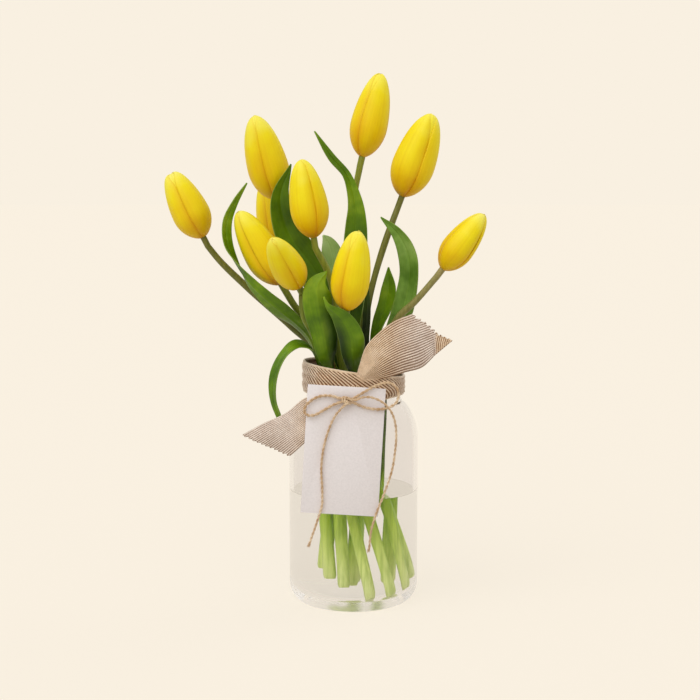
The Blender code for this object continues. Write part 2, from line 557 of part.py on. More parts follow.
def make_ribbon():
    """One strip of burlap: the band round the neck, the half knot in front and the two cut tails."""
    def band(along, across):
        angle = 2 * math.pi * along
        top = RIBBON_TOP_MIDDLE - RIBBON_TOP_TILT * math.cos(angle)
        foot = RIBBON_FOOT_MIDDLE - RIBBON_FOOT_TILT * math.cos(angle)
        height = foot + (top - foot) * across
        radius = jar_outside(height) + RIBBON_SLACK + RIBBON_THICKNESS / 2
        return Vector((radius * math.cos(angle), radius * math.sin(angle), height))

    def tail(upper, lower, bulge, steps):
        above, below = smooth_rows(upper, steps + 1), smooth_rows(lower, steps + 1)

        def surface(along, across):
            step = round(along * steps)
            point = Vector(below[step]).lerp(Vector(above[step]), across)
            point.y -= bulge * math.sin(math.pi * across) * math.sin(math.pi * along)
            return point
        return surface

    knot = bmesh.new()
    bmesh.ops.create_uvsphere(knot, u_segments=KNOT_SEGMENTS, v_segments=KNOT_RINGS, radius=1.0)
    bmesh.ops.scale(knot, vec=RIBBON_KNOT_HALF, verts=knot.verts)
    bmesh.ops.translate(knot, vec=RIBBON_KNOT_MIDDLE, verts=knot.verts)
    pieces = [
        place("knot", mesh_from(knot, "knot"), BURLAP),
        sheet("band", JAR_SIDES, 4, band, RIBBON_THICKNESS, BURLAP),
        sheet("right", 8, 5, tail(RIGHT_TAIL_UPPER, RIGHT_TAIL_LOWER, 5.0, 8), RIBBON_THICKNESS, BURLAP),
        sheet("left", 7, 5, tail(LEFT_TAIL_UPPER, LEFT_TAIL_LOWER, 1.5, 7), RIBBON_THICKNESS, BURLAP),
    ]
    return fuse("ribbon", pieces)


def make_card():
    """The hanging card, punched twice behind the bow for the twine."""
    shape = bmesh.new()
    bmesh.ops.create_cube(shape, size=1.0)
    bmesh.ops.scale(shape, vec=(CARD_SIZE[0], CARD_THICKNESS, CARD_SIZE[1]), verts=shape.verts)
    bmesh.ops.rotate(shape, cent=(0, 0, 0), matrix=Matrix.Rotation(CARD_TURN, 3, "Y"), verts=shape.verts)
    middle = (CARD_MIDDLE[0], CARD_BACK_Y - CARD_THICKNESS / 2, CARD_MIDDLE[1])
    bmesh.ops.translate(shape, vec=middle, verts=shape.verts)
    card = place("card", mesh_from(shape, "card"), CARD_WHITE)
    front, back = CARD_BACK_Y - PUNCH_REACH, CARD_BACK_Y + PUNCH_REACH
    cutters = [peg("punch", side, CARD_HOLE_RADIUS, front, back) for side in (-1, 1)]
    for cutter in cutters:
        cut = card.modifiers.new("punch", "BOOLEAN")
        cut.operation = "DIFFERENCE"
        cut.object = cutter
        cut.solver = "EXACT"
    card = bake(card)
    card.name = "card"
    for cutter in cutters:
        bpy.data.objects.remove(cutter)
    return card


def peg(name, side, radius, front_y, back_y):
    """A short rod through one of the card's two holes."""
    x, z = TWINE_KNOT[0] + side * TWINE_PASS, TWINE_KNOT[1]
    return bake(rod(name, [(x, front_y, z), (x, back_y, z)], [radius] * 2, JUTE, PEG_DETAIL))


def make_twine_knot():
    """The bow's knot, in front of the card, with the two strands that pass through the card."""
    half = [size / 2 for size in TWINE_KNOT_SIZE]
    shape = bmesh.new()
    bmesh.ops.create_uvsphere(shape, u_segments=KNOT_SEGMENTS, v_segments=KNOT_RINGS, radius=1.0)
    bmesh.ops.scale(shape, vec=half, verts=shape.verts)
    front = CARD_BACK_Y - CARD_THICKNESS - GAP
    bmesh.ops.translate(shape, vec=(TWINE_KNOT[0], front - half[1], TWINE_KNOT[1]), verts=shape.verts)
    knot = place("knot", mesh_from(shape, "knot"), JUTE)
    strands = [peg("strand", side, TWINE_DIAMETER / 2, front - half[1], CARD_BACK_Y) for side in (-1, 1)]
    return fuse("twine_knot", [knot] + strands)


def make_twine(name, route):
    length = sum((Vector(b) - Vector(a)).length for a, b in zip(route, route[1:]))
    centres = smooth_rows(route, round(length / (TWINE_STEP * TWINE_DIAMETER)) + 1)
    return rod(name, centres, [TWINE_DIAMETER / 2] * len(centres), JUTE, ROD_DETAIL)


def main():
    for old in list(bpy.data.objects):
        bpy.data.objects.remove(old)
    make_jar()
    make_water(TULIPS)
    for tulip in TULIPS:
        make_stem(tulip)
        make_bloom(tulip)
    for leaf in LEAVES:
        make_leaf(leaf, TULIPS)
    make_ribbon()
    make_card()
    make_twine_knot()
    for name, route in TWINE_ROUTES.items():
        make_twine(name, route)


main()
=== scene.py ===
# %% [markdown]
# # Tulips in a jar
# Ten closed yellow tulips stand in a clear glass preserving jar of water. A burlap ribbon is tied round
# the jar's neck, and a blank card hangs in front of it on a twine bow.
#
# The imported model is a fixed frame: every piece has its real size and place there, but looks plain.
# This script gives each one a finer shape and a finish of its own. Sizes are written in millimetres and
# become metres with MM. +Z is up and -Y is the front.

# %% Load the frame
import math
import random

import bmesh
import bpy
import numpy as np
from mathutils import Matrix, Vector


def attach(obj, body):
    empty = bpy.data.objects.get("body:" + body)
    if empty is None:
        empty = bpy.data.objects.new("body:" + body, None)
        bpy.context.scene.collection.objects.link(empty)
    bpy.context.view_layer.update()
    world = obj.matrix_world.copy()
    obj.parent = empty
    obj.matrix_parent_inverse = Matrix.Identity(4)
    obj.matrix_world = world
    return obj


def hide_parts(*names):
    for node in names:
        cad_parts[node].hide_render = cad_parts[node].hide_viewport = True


MM = 0.001
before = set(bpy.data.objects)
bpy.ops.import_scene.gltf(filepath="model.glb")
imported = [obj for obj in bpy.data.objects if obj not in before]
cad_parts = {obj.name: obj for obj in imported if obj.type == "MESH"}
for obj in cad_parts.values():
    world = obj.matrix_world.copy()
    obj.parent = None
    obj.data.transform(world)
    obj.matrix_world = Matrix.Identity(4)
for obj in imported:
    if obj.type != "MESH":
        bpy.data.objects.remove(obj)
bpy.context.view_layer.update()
print("solids loaded:", len(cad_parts))

# %% [markdown]
# ## The camera
# The jar's rim and base look like flat ellipses, so the camera stands about a metre away and looks
# slightly down. A long lens keeps the jar's sides upright.

# %% Camera
CAMERA_PLACE = Vector((-2.6, -1060.0, 309.0)) * MM
CAMERA_PITCH = math.radians(6.4)
LENS = 73.29


def put_in_scene(name, data):
    """A new object that shows some data, linked to the scene."""
    made = bpy.data.objects.new(name, data)
    bpy.context.scene.collection.objects.link(made)
    return made


lens = bpy.data.cameras.new("camera")
lens.lens = LENS
lens.sensor_width = 36.0
camera = put_in_scene("camera", lens)
camera.location = CAMERA_PLACE
camera.rotation_euler = (math.pi / 2 - CAMERA_PITCH, 0.0, 0.0)
bpy.context.scene.camera = camera
print("camera pitch in degrees:", round(math.degrees(CAMERA_PITCH), 1))

# %% [markdown]
# ## Building shader networks
# A finish is a network of nodes round one Principled shader. Short helpers keep each network readable:
# one adds a node, one starts a material and the rest add the nodes that many finishes share.
# Colours are written as the 0 to 255 values seen on a screen, so the first helper turns them into the
# light values that shaders use.

# %% Shader helpers
PLAIN = (1.0, 1.0, 1.0)


def light(red, green, blue):
    """A screen colour as the linear light values that a shader works with."""
    shares = [value / 255 for value in (red, green, blue)]
    return tuple(s / 12.92 if s <= 0.04045 else ((s + 0.055) / 1.055) ** 2.4 for s in shares) + (1.0,)


def add_node(tree, kind, inputs=None, **settings):
    """Add a shader node. An input is a plain value or another node's output."""
    made = tree.nodes.new("ShaderNode" + kind)
    for name, value in settings.items():
        setattr(made, name, value)
    for name, value in (inputs or {}).items():
        if isinstance(value, bpy.types.NodeSocket):
            tree.links.new(value, made.inputs[name])
        else:
            made.inputs[name].default_value = value
    return made


def new_finish(name, roughness, specular, **more):
    """Start a material and return it with its node tree and its Principled shader."""
    made = bpy.data.materials.new(name)
    made.use_nodes = True
    shader = made.node_tree.nodes["Principled BSDF"]
    for socket, value in {"Roughness": roughness, "Specular_IOR_Level": specular, **more}.items():
        shader.inputs[socket.replace("_", " ")].default_value = value
    return made, made.node_tree, shader


def ramp(tree, factor, stops):
    """Colours along a factor. stops are pairs of place and colour."""
    made = add_node(tree, "ValToRGB", {"Fac": factor})
    elements = made.color_ramp.elements
    while len(elements) < len(stops):
        elements.new(0.5)
    for element, (place, colour) in zip(elements, stops):
        element.position = place
        element.color = (*colour[:3], 1.0)
    return made.outputs["Color"]


def blend(tree, share, first, second, mode="MIX"):
    """Mix two colours. share is how much of the second one shows."""
    colours = {0: share, 6: first, 7: second}
    return add_node(tree, "Mix", colours, data_type="RGBA", blend_type=mode).outputs[2]


def shade(tree, share, colour, factor, stops):
    """Multiply a colour by a ramp along a factor."""
    return blend(tree, share, colour, ramp(tree, factor, stops), "MULTIPLY")


def calculate(tree, operation, *values):
    """What a Math node makes of one or two values."""
    return add_node(tree, "Math", dict(enumerate(values)), operation=operation).outputs[0]


def remap(tree, value, low, high, start=0.0, end=1.0):
    """Carry a value over from one range to another. It stays inside the new one."""
    limits = {"Value": value, "From Min": low, "From Max": high, "To Min": start, "To Max": end}
    return add_node(tree, "MapRange", limits).outputs["Result"]


def object_place(tree):
    return add_node(tree, "TexCoord").outputs["Object"]


def object_axis(tree, axis):
    """A point's distance from the origin along one of the object's axes."""
    return add_node(tree, "SeparateXYZ", {0: object_place(tree)}).outputs[axis]


def noise(tree, place, scale, detail, roughness=0.5):
    """Soft noise from 0 to 1. A scale for each axis stretches it."""
    if isinstance(scale, tuple):
        place, scale = add_node(tree, "Mapping", {"Vector": place, "Scale": scale}).outputs[0], 1.0
    inputs = {"Vector": place, "Scale": scale, "Detail": detail, "Roughness": roughness}
    return add_node(tree, "TexNoise", inputs).outputs["Fac"]


def set_skin(tree, shader, colour, relief=None, strength=1.0, depth=0.0):
    """Give a shader its colour and a bump of a depth in millimetres."""
    tree.links.new(colour, shader.inputs["Base Color"])
    if relief is not None:
        bump = add_node(tree, "Bump", {"Height": relief, "Strength": strength, "Distance": depth * MM})
        tree.links.new(bump.outputs["Normal"], shader.inputs["Normal"])


print("a light grey as linear light:", round(light(200, 200, 200)[0], 3))

# %% [markdown]
# ## The studio
# The jar stands on a pale cream ground with hardly any shadow. Studios get that with a floor lit so
# brightly that it turns to one even tone. Here the floor glows a little of its own colour, which evens
# it out in the same way, and a wide, soft sun gives the flowers their gentle modelling.

# %% Floor, sky and lamps
GROUND_COLOUR = light(249, 240, 225)
FLOOR_GLOW = 0.80
FLOOR_BOUNCE = 0.45
FLOOR_RADIUS = 30.0
SKY_STRENGTH = 0.60

floor_shape = bmesh.new()
bmesh.ops.create_circle(floor_shape, cap_ends=True, segments=96, radius=FLOOR_RADIUS)
floor_mesh = bpy.data.meshes.new("floor")
floor_shape.to_mesh(floor_mesh)
floor_shape.free()
floor = put_in_scene("floor", floor_mesh)

floor_finish, tree, shader = new_finish("floor_cream", 1.0, 0.0)
shader.inputs["Base Color"].default_value = [(1 - FLOOR_GLOW) * c for c in GROUND_COLOUR[:3]] + [1.0]
shader.inputs["Emission Color"].default_value = GROUND_COLOUR
soft_ray = add_node(tree, "LightPath").outputs["Is Diffuse Ray"]
strength = remap(tree, soft_ray, 0.0, 1.0, FLOOR_GLOW, FLOOR_BOUNCE)
tree.links.new(strength, shader.inputs["Emission Strength"])
floor_mesh.materials.append(floor_finish)

sky = bpy.data.worlds.new("studio")
sky.use_nodes = True
tree = sky.node_tree
seen = tree.nodes["Background"]
seen.inputs["Color"].default_value = GROUND_COLOUR
glow = add_node(tree, "Background", {"Color": light(255, 252, 247), "Strength": SKY_STRENGTH})
rays = add_node(tree, "LightPath").outputs
through = calculate(tree, "MAXIMUM", rays["Is Camera Ray"], rays["Is Transmission Ray"])
choice = add_node(tree, "MixShader", {0: through, 1: glow.outputs[0], 2: seen.outputs[0]})
tree.links.new(choice.outputs[0], tree.nodes["World Output"].inputs["Surface"])
bpy.context.scene.world = sky
bpy.context.scene.view_settings.view_transform = "Standard"


def add_sun(name, strength, azimuth, height, softness):
    """A soft sun, not seen through glass. azimuth 0 is behind the camera and grows towards its right."""
    lamp = bpy.data.lights.new(name, "SUN")
    lamp.energy = strength
    lamp.angle = math.radians(softness)
    turn, rise = math.radians(azimuth), math.radians(height)
    from_here = Vector((math.sin(turn) * math.cos(rise), -math.cos(turn) * math.cos(rise), math.sin(rise)))
    made = put_in_scene(name, lamp)
    made.rotation_euler = from_here.to_track_quat("Z", "Y").to_euler()
    made.visible_transmission = False


add_sun("key_sun", strength=1.55, azimuth=-32, height=50, softness=60)
add_sun("back_sun", strength=0.35, azimuth=125, height=32, softness=40)

# %% [markdown]
# ## Turning shapes into pieces
# Every new piece goes through the same last steps: its shape becomes a mesh, gets its finish and rides
# on the jar's body. Where it replaces a plain solid, that solid is hidden. One helper does all of them.

# %% Helpers for curves and pieces
CURVE_POINTS = 24
SHARP_ANGLE = math.radians(50)


def run_along(points):
    """How far each point of a line lies from the line's start."""
    return np.concatenate(([0.0], np.cumsum(np.linalg.norm(np.diff(points, axis=0), axis=1))))


def smooth_rows(rows, count):
    """Evenly spaced rows along a smooth curve through the given rows, which start with x, y and z."""
    rows = np.array(rows, dtype=float)
    knots = run_along(rows[:, :3])
    slopes = np.gradient(rows, knots, axis=0)
    fine = []
    for start in range(len(rows) - 1):
        span = knots[start + 1] - knots[start]
        for part in np.linspace(0.0, 1.0, CURVE_POINTS, endpoint=start == len(rows) - 2):
            square, cube = part * part, part * part * part
            fine.append(
                (2 * cube - 3 * square + 1) * rows[start]
                + (cube - 2 * square + part) * span * slopes[start]
                + (3 * square - 2 * cube) * rows[start + 1]
                + (cube - square) * span * slopes[start + 1]
            )
    fine = np.array(fine)
    run = run_along(fine[:, :3])
    return np.stack([np.interp(np.linspace(0.0, run[-1], count), run, column) for column in fine.T], axis=1)


def polar(radius, turn, height):
    """Points at a distance and a turn round the Z axis."""
    return np.stack((radius * np.cos(turn), radius * np.sin(turn), height), axis=-1)


def oval_ring(centre, first, second, count):
    """Points once round an oval with two half axes."""
    turns = np.linspace(0.0, 2 * math.pi, count)[:, None]
    return centre + np.cos(turns) * first + np.sin(turns) * second


def new_shape():
    """An empty bmesh with a UV map."""
    shape = bmesh.new()
    shape.loops.layers.uv.new("UVMap")
    return shape


def weld(shape):
    """Merge corners that touch and turn all faces outwards."""
    bmesh.ops.remove_doubles(shape, verts=shape.verts, dist=1e-4)
    bmesh.ops.recalc_face_normals(shape, faces=shape.faces)


def make_piece(name, shape, finish, node=None):
    """Turn a shape in millimetres into a piece that rides on the jar, and hide the plain solid that it
    replaces.
    """
    bmesh.ops.scale(shape, vec=(MM, MM, MM), verts=shape.verts)
    mesh = bpy.data.meshes.new(name)
    shape.to_mesh(mesh)
    shape.free()
    mesh.materials.append(finish)
    mesh.shade_smooth()
    mesh.set_sharp_from_angle(angle=SHARP_ANGLE)
    piece = put_in_scene(name, mesh)
    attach(piece, "root")
    if node:
        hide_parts(node)
    return piece


def thicken(piece, thickness, offset):
    """Give a sheet its thickness: offset 0 grows it to both sides and -1 inwards."""
    wall = piece.modifiers.new("thickness", "SOLIDIFY")
    wall.thickness = thickness * MM
    wall.offset = offset


print("points between the given rows of a curve:", CURVE_POINTS)

# %% [markdown]
# ## Round strands
# Stems, cords and twine are all round strands that follow a curve. A flat grid is rolled up round the
# curve's points: one side runs along it and the other goes once round it. The directions across the
# curve are carried along from point to point, so the strand doesn't twist by itself. The helper that
# bends a grid serves petals, leaves and ribbon too.

# %% Roll a grid into a strand
def unit(vectors):
    return vectors / np.linalg.norm(vectors, axis=-1, keepdims=True)


def across_curve(centres):
    """Two directions across a curve at each of its points, carried along without a twist."""
    runs = unit(np.gradient(centres, axis=0))
    side = np.cross(runs[0], (0.0, 1.0, 0.0) if abs(runs[0][1]) < 0.8 else (1.0, 0.0, 0.0))
    sides = []
    for run in runs:
        side = unit(side - run * (side @ run))
        sides.append(side)
    return np.array(sides), np.cross(runs, sides)


def bend_grid(shape, columns, rows, bend):
    """Add a flat grid to a shape and bend it: bend gives the corners' places from their shares, from 0 to
    1, along and across the grid."""
    made = bmesh.ops.create_grid(
        shape, x_segments=columns, y_segments=rows, size=0.5, calc_uvs=True
    )["verts"]
    flat = np.array([corner.co for corner in made]) + 0.5
    for corner, place in zip(made, bend(flat[:, 0], flat[:, 1])):
        corner.co = place
    return made


def add_strand(shape, centres, radii, around):
    """Add a round strand to a shape and close its ends."""
    centres = np.asarray(centres, dtype=float)
    radii = np.broadcast_to(radii, len(centres))
    sides, ups = across_curve(centres)

    def roll_up(along, across):
        steps = np.rint(along * (len(centres) - 1)).astype(int)
        turns = -2 * math.pi * across
        offsets = np.cos(turns)[:, None] * sides[steps] + np.sin(turns)[:, None] * ups[steps]
        return centres[steps] + radii[steps][:, None] * offsets

    made = bend_grid(shape, len(centres) - 1, around, roll_up)
    bmesh.ops.remove_doubles(shape, verts=made, dist=1e-5)
    corners = [corner for corner in made if corner.is_valid]
    ends = {edge for corner in corners for edge in corner.link_edges if edge.is_boundary}
    bmesh.ops.holes_fill(shape, edges=list(ends), sides=around)


def wind_round(centres, offset, pitch, phase):
    """Centres that wind round a curve at an offset, once in each pitch."""
    sides, ups = across_curve(centres)
    turns = 2 * math.pi * run_along(centres) / pitch + phase
    return centres + offset * (np.cos(turns)[:, None] * sides + np.sin(turns)[:, None] * ups)


test = new_shape()
add_strand(test, [(0, 0, 0), (0, 0, 5), (0, 0, 10)], 1.0, 8)
print("faces on a test strand:", len(test.faces))
test.free()

# %% [markdown]
# ## The jute finish
# Jute is a coarse plant fibre, from pale straw to brown. Fine noise gives the fibres, in colour and as
# a bump, and slow noise gives lighter and darker lengths of yarn. On the ribbon, a paler pair of tones is
# painted light on the parts far out to the sides. The folded corner on the right keeps the darker tones
# as painted shade.

# %% Jute for the twine
# Where the ribbon turns to painted light far out to the sides, and where its folded corner drops back into
# painted shade, in mm
PALE_FROM = 22.0
PALE_TO = 46.0
CORNER_FROM = 58.5
CORNER_TO = 60.5


def lit_share(tree):
    """How much painted light a point gets: 0 near the jar's neck, 1 far out to the sides, and 0 again on the
    folded corner on the right, which stays in painted shade.
    """
    sideways = object_axis(tree, "X")
    before_corner = remap(tree, sideways, CORNER_FROM * MM, CORNER_TO * MM, 1.0, 0.0)
    share = remap(tree, calculate(tree, "ABSOLUTE", sideways), PALE_FROM * MM, PALE_TO * MM)
    return calculate(tree, "MULTIPLY", share, before_corner)


def two_tones(tree, factor, dark, pale, far=None):
    """Two colours along a factor. far is a second, paler pair, painted light on the part far out to the
    sides.
    """
    colour = ramp(tree, factor, [(0.3, dark), (0.7, pale)])
    if far:
        colour = blend(tree, lit_share(tree), colour, two_tones(tree, factor, *far))
    return colour


def jute_finish(name, fibre_scale, *tones):
    """Jute yarn. tones are the dark and the pale colour, and the far pair if there is one: a paler pair
    painted as light far out to the sides.
    """
    made, tree, shader = new_finish(name, 0.9, 0.2, Sheen_Weight=0.25)
    place = object_place(tree)
    fibre = noise(tree, place, fibre_scale, 5.0, 0.75)
    colour = two_tones(tree, noise(tree, place, 160.0, 2.0), *tones)
    colour = shade(tree, 0.8, colour, fibre, [(0.35, (0.62, 0.58, 0.52)), (0.6, (1.08, 1.06, 1.02))])
    set_skin(tree, shader, colour, fibre, 0.5, 0.2)
    return made


twine_finish = jute_finish("jute_twine", 2600.0, light(200, 164, 124), light(240, 218, 188))
print("finish:", twine_finish.name)

# %% [markdown]
# ## The twine bow
# The bow is one length of two-ply jute twine: two loops, two hanging tails and a knot. Each loop and
# tail follows the same route as its plain solid. Two yarns wind round the route, as in real twine, and
# short loose fibres stand off them. The ends are cut and slightly frayed.

# %% Twine loops and tails
TWINE_DIAMETER = 2.4
YARN_RADIUS = 0.56
YARN_OFFSET = 0.52
TAIL_SLIMNESS = 0.86
YARN_PITCH = 7.0
YARN_STEP = 0.45
FIBRE_RADIUS = 0.045
FIBRES_PER_MM = 0.9
FIBRE_LEAN = (0.5, 1.0)
FIBRE_REACH = (0.3, 1.3)
FIBRE_LENGTH = (1.5, 3.5)
FIBRE_ROOT = 0.25
FRAYED_FIBRES = 26
FRAYED_RADII = (0.16, 0.12, 0.07)
FRAYED_SPREAD = 0.9
FRAYED_LENGTH = (1.2, 3.0)
YARN_UNEVENNESS = 0.12
TWINE_ROUTES = {
    "twine_loop_left": [
        (-10, -51.9, 161.2), (-16, -51.4, 162.8), (-24.7, -51.2, 162.3), (-30.5, -51.4, 159.4),
        (-34.2, -52, 155.6), (-35.2, -52.2, 151.6), (-32.4, -52, 148.9), (-28.6, -51.6, 148.9),
        (-21.9, -51.3, 152.2), (-15.5, -51.4, 155.8), (-10.2, -51.9, 158.2)],
    "twine_loop_right": [
        (0.4, -51.9, 161.4), (8.1, -51.5, 166), (17.5, -51.2, 170.9), (25.6, -51.4, 172.3),
        (30.4, -51.8, 169), (32.1, -52, 163.7), (30.6, -51.8, 158.4), (26, -51.4, 154.8),
        (19.5, -51.2, 153.3), (8.1, -51.4, 154.6), (0.5, -51.9, 157.6)],
    "twine_tail_right": [
        (0.4, -55, 160.2), (8.1, -55.2, 162.6), (16.7, -55.2, 161), (22.4, -55.2, 157.4),
        (26.6, -54.8, 152.3), (29.4, -54, 145), (30.4, -53, 137.5), (29.7, -52, 122.8),
        (27.6, -51.6, 109), (21.9, -51.2, 91.4), (15.5, -51.2, 74.5), (12.6, -51, 63.9), (11.2, -51, 50.8)],
    "twine_tail_left": [
        (-7.6, -52.9, 155.2), (-11, -52.6, 151.6), (-14, -51.8, 147), (-19.1, -51.2, 134.5),
        (-22, -51.1, 122.8), (-23.2, -51.1, 112), (-22.6, -51.1, 91.4), (-22.8, -51.1, 83.3),
        (-25.3, -51, 74.5), (-32, -50.5, 54.5)],
}


def add_twine(shape, centres, dice, frayed):
    """Two yarns wound round a route, with loose fibres. frayed adds a small brush at the far end."""
    slim = TAIL_SLIMNESS if frayed else 1.0
    for phase in (0.0, math.pi):
        yarn = wind_round(centres, slim * YARN_OFFSET, YARN_PITCH, phase)
        uneven = 1 + YARN_UNEVENNESS * np.sin(np.arange(len(centres)) * 0.37 + 5 * phase)
        add_strand(shape, yarn, slim * YARN_RADIUS * uneven, 8)
    sides, ups = across_curve(centres)
    runs = np.cross(sides, ups)
    for _ in range(round(run_along(centres)[-1] * FIBRES_PER_MM)):
        start = dice.randrange(2, len(centres) - 2)
        turn, lean = dice.uniform(0, 2 * math.pi), dice.choice((-1, 1)) * dice.uniform(*FIBRE_LEAN)
        out = math.cos(turn) * sides[start] + math.sin(turn) * ups[start]
        reach, length = dice.uniform(*FIBRE_REACH), dice.uniform(*FIBRE_LENGTH)
        fibre = [centres[start] + out * (slim * TWINE_DIAMETER / 2 - FIBRE_ROOT + reach * s * s)
                 + runs[start] * lean * length * s for s in (0.0, 0.5, 1.0)]
        add_strand(shape, fibre, FIBRE_RADIUS, 3)
    for _ in range(FRAYED_FIBRES if frayed else 0):
        turn, spread = dice.uniform(0, 2 * math.pi), FRAYED_SPREAD * dice.uniform(0.1, 1.0)
        out = math.cos(turn) * sides[-1] + math.sin(turn) * ups[-1]
        length = dice.uniform(*FRAYED_LENGTH)
        fibre = [centres[-1] + out * (spread + spread * s * s)
                 + runs[-1] * length * s for s in (-0.2, 0.4, 1.0)]
        add_strand(shape, fibre, FRAYED_RADII, 4)


for number, (node, route) in enumerate(TWINE_ROUTES.items()):
    centres = smooth_rows(route, round(run_along(route)[-1] / YARN_STEP))
    is_tail = "tail" in node
    shape = new_shape()
    add_twine(shape, centres, random.Random(number), is_tail)
    cord = make_piece(node.replace("twine", "bow"), shape, twine_finish, node)

# %% [markdown]
# ## The bow's knot
# The knot holds the two loops together. Seen close up it is a couple of turns of the same twine laid
# side by side over the crossing, with the strands that pass through the card behind it. Each turn is a
# closed ring of two yarns that leans to the left.

# %% Twine knot
KNOT_MIDDLE = Vector((-4.6, -52.4, 159.6))
KNOT_TURN_HALF = (2.0, 2.7)
KNOT_TURNS = [(-1.0, 1.9, 34.0), (0.6, 1.8, 40.0)]
KNOT_STRANDS = [
    [(-12, -51.8, 161.6), (-9.5, -51.9, 161.1), (-4.6, -52.3, 160.4), (0.2, -51.9, 161.3),
     (2.4, -51.8, 162.5)],
    [(-12, -51.8, 157.6), (-9.8, -51.9, 158.4), (-4.6, -52.5, 159), (0.4, -51.9, 157.8),
     (2.6, -51.8, 157)],
    [(-4, -54.2, 161.8), (-1.6, -55, 160.6), (0.4, -55, 160.2), (2.4, -55.1, 160.7)],
    [(-4.4, -54.4, 158.6), (-6, -53.8, 157), (-7.6, -52.9, 155.2), (-8.6, -52.8, 154.2)],
]
CARD_PASS = 2.6
CARD_BACK_Y = -48.8

shape = new_shape()
deep, tall = KNOT_TURN_HALF
rings = []
for shift, slant, tilt in KNOT_TURNS:
    lean = math.radians(tilt)
    rings.append(oval_ring(np.array(KNOT_MIDDLE) + (shift, 0.0, 0.0), (slant, deep, 0.0),
                           (-tall * math.sin(lean), 0.0, tall * math.cos(lean)), 41))
for line in rings + [smooth_rows(strand, 24) for strand in KNOT_STRANDS]:
    for phase in (0.0, math.pi):
        add_strand(shape, wind_round(line, YARN_OFFSET, YARN_PITCH, phase), YARN_RADIUS, 8)
for side in (-1, 1):
    strand = [(KNOT_MIDDLE.x + side * CARD_PASS, y, KNOT_MIDDLE.z) for y in (-52.0, -50.5, CARD_BACK_Y)]
    add_strand(shape, strand, TWINE_DIAMETER / 2, 10)
make_piece("bow_knot", shape, twine_finish, "twine_knot")
print("knot turns:", len(KNOT_TURNS))

# %% [markdown]
# ## Clear glass
# Glass bends light, and its edges look darker because light crosses more of it there. A Principled
# shader with full transmission bends light, and a tint that deepens where the surface turns away from
# view gives the edges their line. Lamps would cast a hard, dark shadow through it, so shadow rays meet
# a clear film instead, which lets light reach the stems inside. Light that has crossed many surfaces
# goes straight on as well, which keeps the thick heel pale. A moulded foot is never as clear as the
# wall, so a little haze sets in above the base. The water's open surface is painted a shade greyer than
# its body, as painted shade standing in for the dim reflection on it, which makes it show as an ellipse.

# %% Glass and water finishes
MOST_BENDS = 3.5
GLASS_BEND = 1.1
WATER_BEND = 1.333
GLASS_WAVE = 0.2
WAVE_SCALE = 26.0
HAZE_TOP = 13.0
HAZE_FULL = 8.0
SKIN_DEPTH = 0.2
WATER_LEVEL = 85.0


def clear_finish(name, facing_tint, edge_tint, bend, film, wave=0.0, foot_haze=0.0, skin=None):
    """Glass or water. film is what shadows see. skin is the height of an open surface and the grey painted
    on it as shade.
    """
    made, tree, shader = new_finish(name, 0.0, 0.5, IOR=bend, Transmission_Weight=1.0)
    edge = add_node(tree, "LayerWeight", {"Blend": 0.25}).outputs["Facing"]
    tint = ramp(tree, edge, [(0.6, facing_tint), (1.0, edge_tint)])
    height = object_axis(tree, "Z")
    # Painted shade on the open surface, standing in for its dim reflection
    if skin:
        level, surface_shade = skin
        above = calculate(tree, "GREATER_THAN", height, (level - SKIN_DEPTH) * MM)
        tint = blend(tree, above, tint, surface_shade)
    uneven = noise(tree, object_place(tree), WAVE_SCALE, 1.0) if wave else None
    set_skin(tree, shader, tint, uneven, 1.0, wave)
    if foot_haze:
        haze = remap(tree, height, HAZE_TOP * MM, HAZE_FULL * MM, 0.0, foot_haze)
        tree.links.new(haze, shader.inputs["Roughness"])
    rays = add_node(tree, "LightPath").outputs
    weary = calculate(tree, "GREATER_THAN", rays["Ray Depth"], MOST_BENDS)
    straight = calculate(tree, "MAXIMUM", rays["Is Shadow Ray"], weary)
    clear = add_node(tree, "BsdfTransparent", {"Color": film})
    choice = add_node(tree, "MixShader", {0: straight, 1: shader.outputs[0], 2: clear.outputs[0]})
    tree.links.new(choice.outputs[0], tree.nodes["Material Output"].inputs["Surface"])
    return made


glass_finish = clear_finish(
    "clear_glass", light(244, 243, 244), light(226, 222, 217), GLASS_BEND, light(253, 253, 252),
    wave=GLASS_WAVE, foot_haze=0.3,
)
water_finish = clear_finish(
    "clear_water", light(253, 254, 252), light(250, 251, 247), WATER_BEND, light(254, 254, 254),
    # The grey on the open surface is painted shade
    skin=(WATER_LEVEL, light(222, 220, 214)),
)
print("finishes:", glass_finish.name, water_finish.name)

# %% [markdown]
# ## The jar
# A preserving jar is blown in a mould: a flat base with a rounded heel, straight sides, a round
# shoulder and a narrower neck with a rim. Such a shape is turned. Half of its cross-section, outside
# and inside, is drawn as one line and spun once round the axis.

# %% Jar
JAR_RADIUS = 48.4
JAR_HEIGHT = 178.0
JAR_BASE_RADIUS = 36.0
JAR_HEEL_TOP = 15.0
JAR_SHOULDER_Z = 121.0
SHOULDER_CENTRE = 30.4
SHOULDER_TALL = 33.0
SHOULDER_END = 71.0
INNER_SHOULDER_END = 82.0
JAR_NECK_RADIUS = 35.0
JAR_NECK_Z = 155.0
JAR_BEAD_RADIUS = 35.5
JAR_BEAD_Z = 160.0
JAR_BEAD_HALF = 2.0
JAR_RIM_ROUND = 1.6
JAR_WALL = 3.0
JAR_FLOOR = 7.0
JAR_FOOT = [(0.0, 1.6), (26.0, 1.6), (30.0, 0.5), (32.0, 0.0)]
INNER_HEEL_CENTRE = 33.0
INNER_HEEL_TOP = 20.0
JAR_MOUTH_RADIUS = 30.5
TURN_STEPS = 128


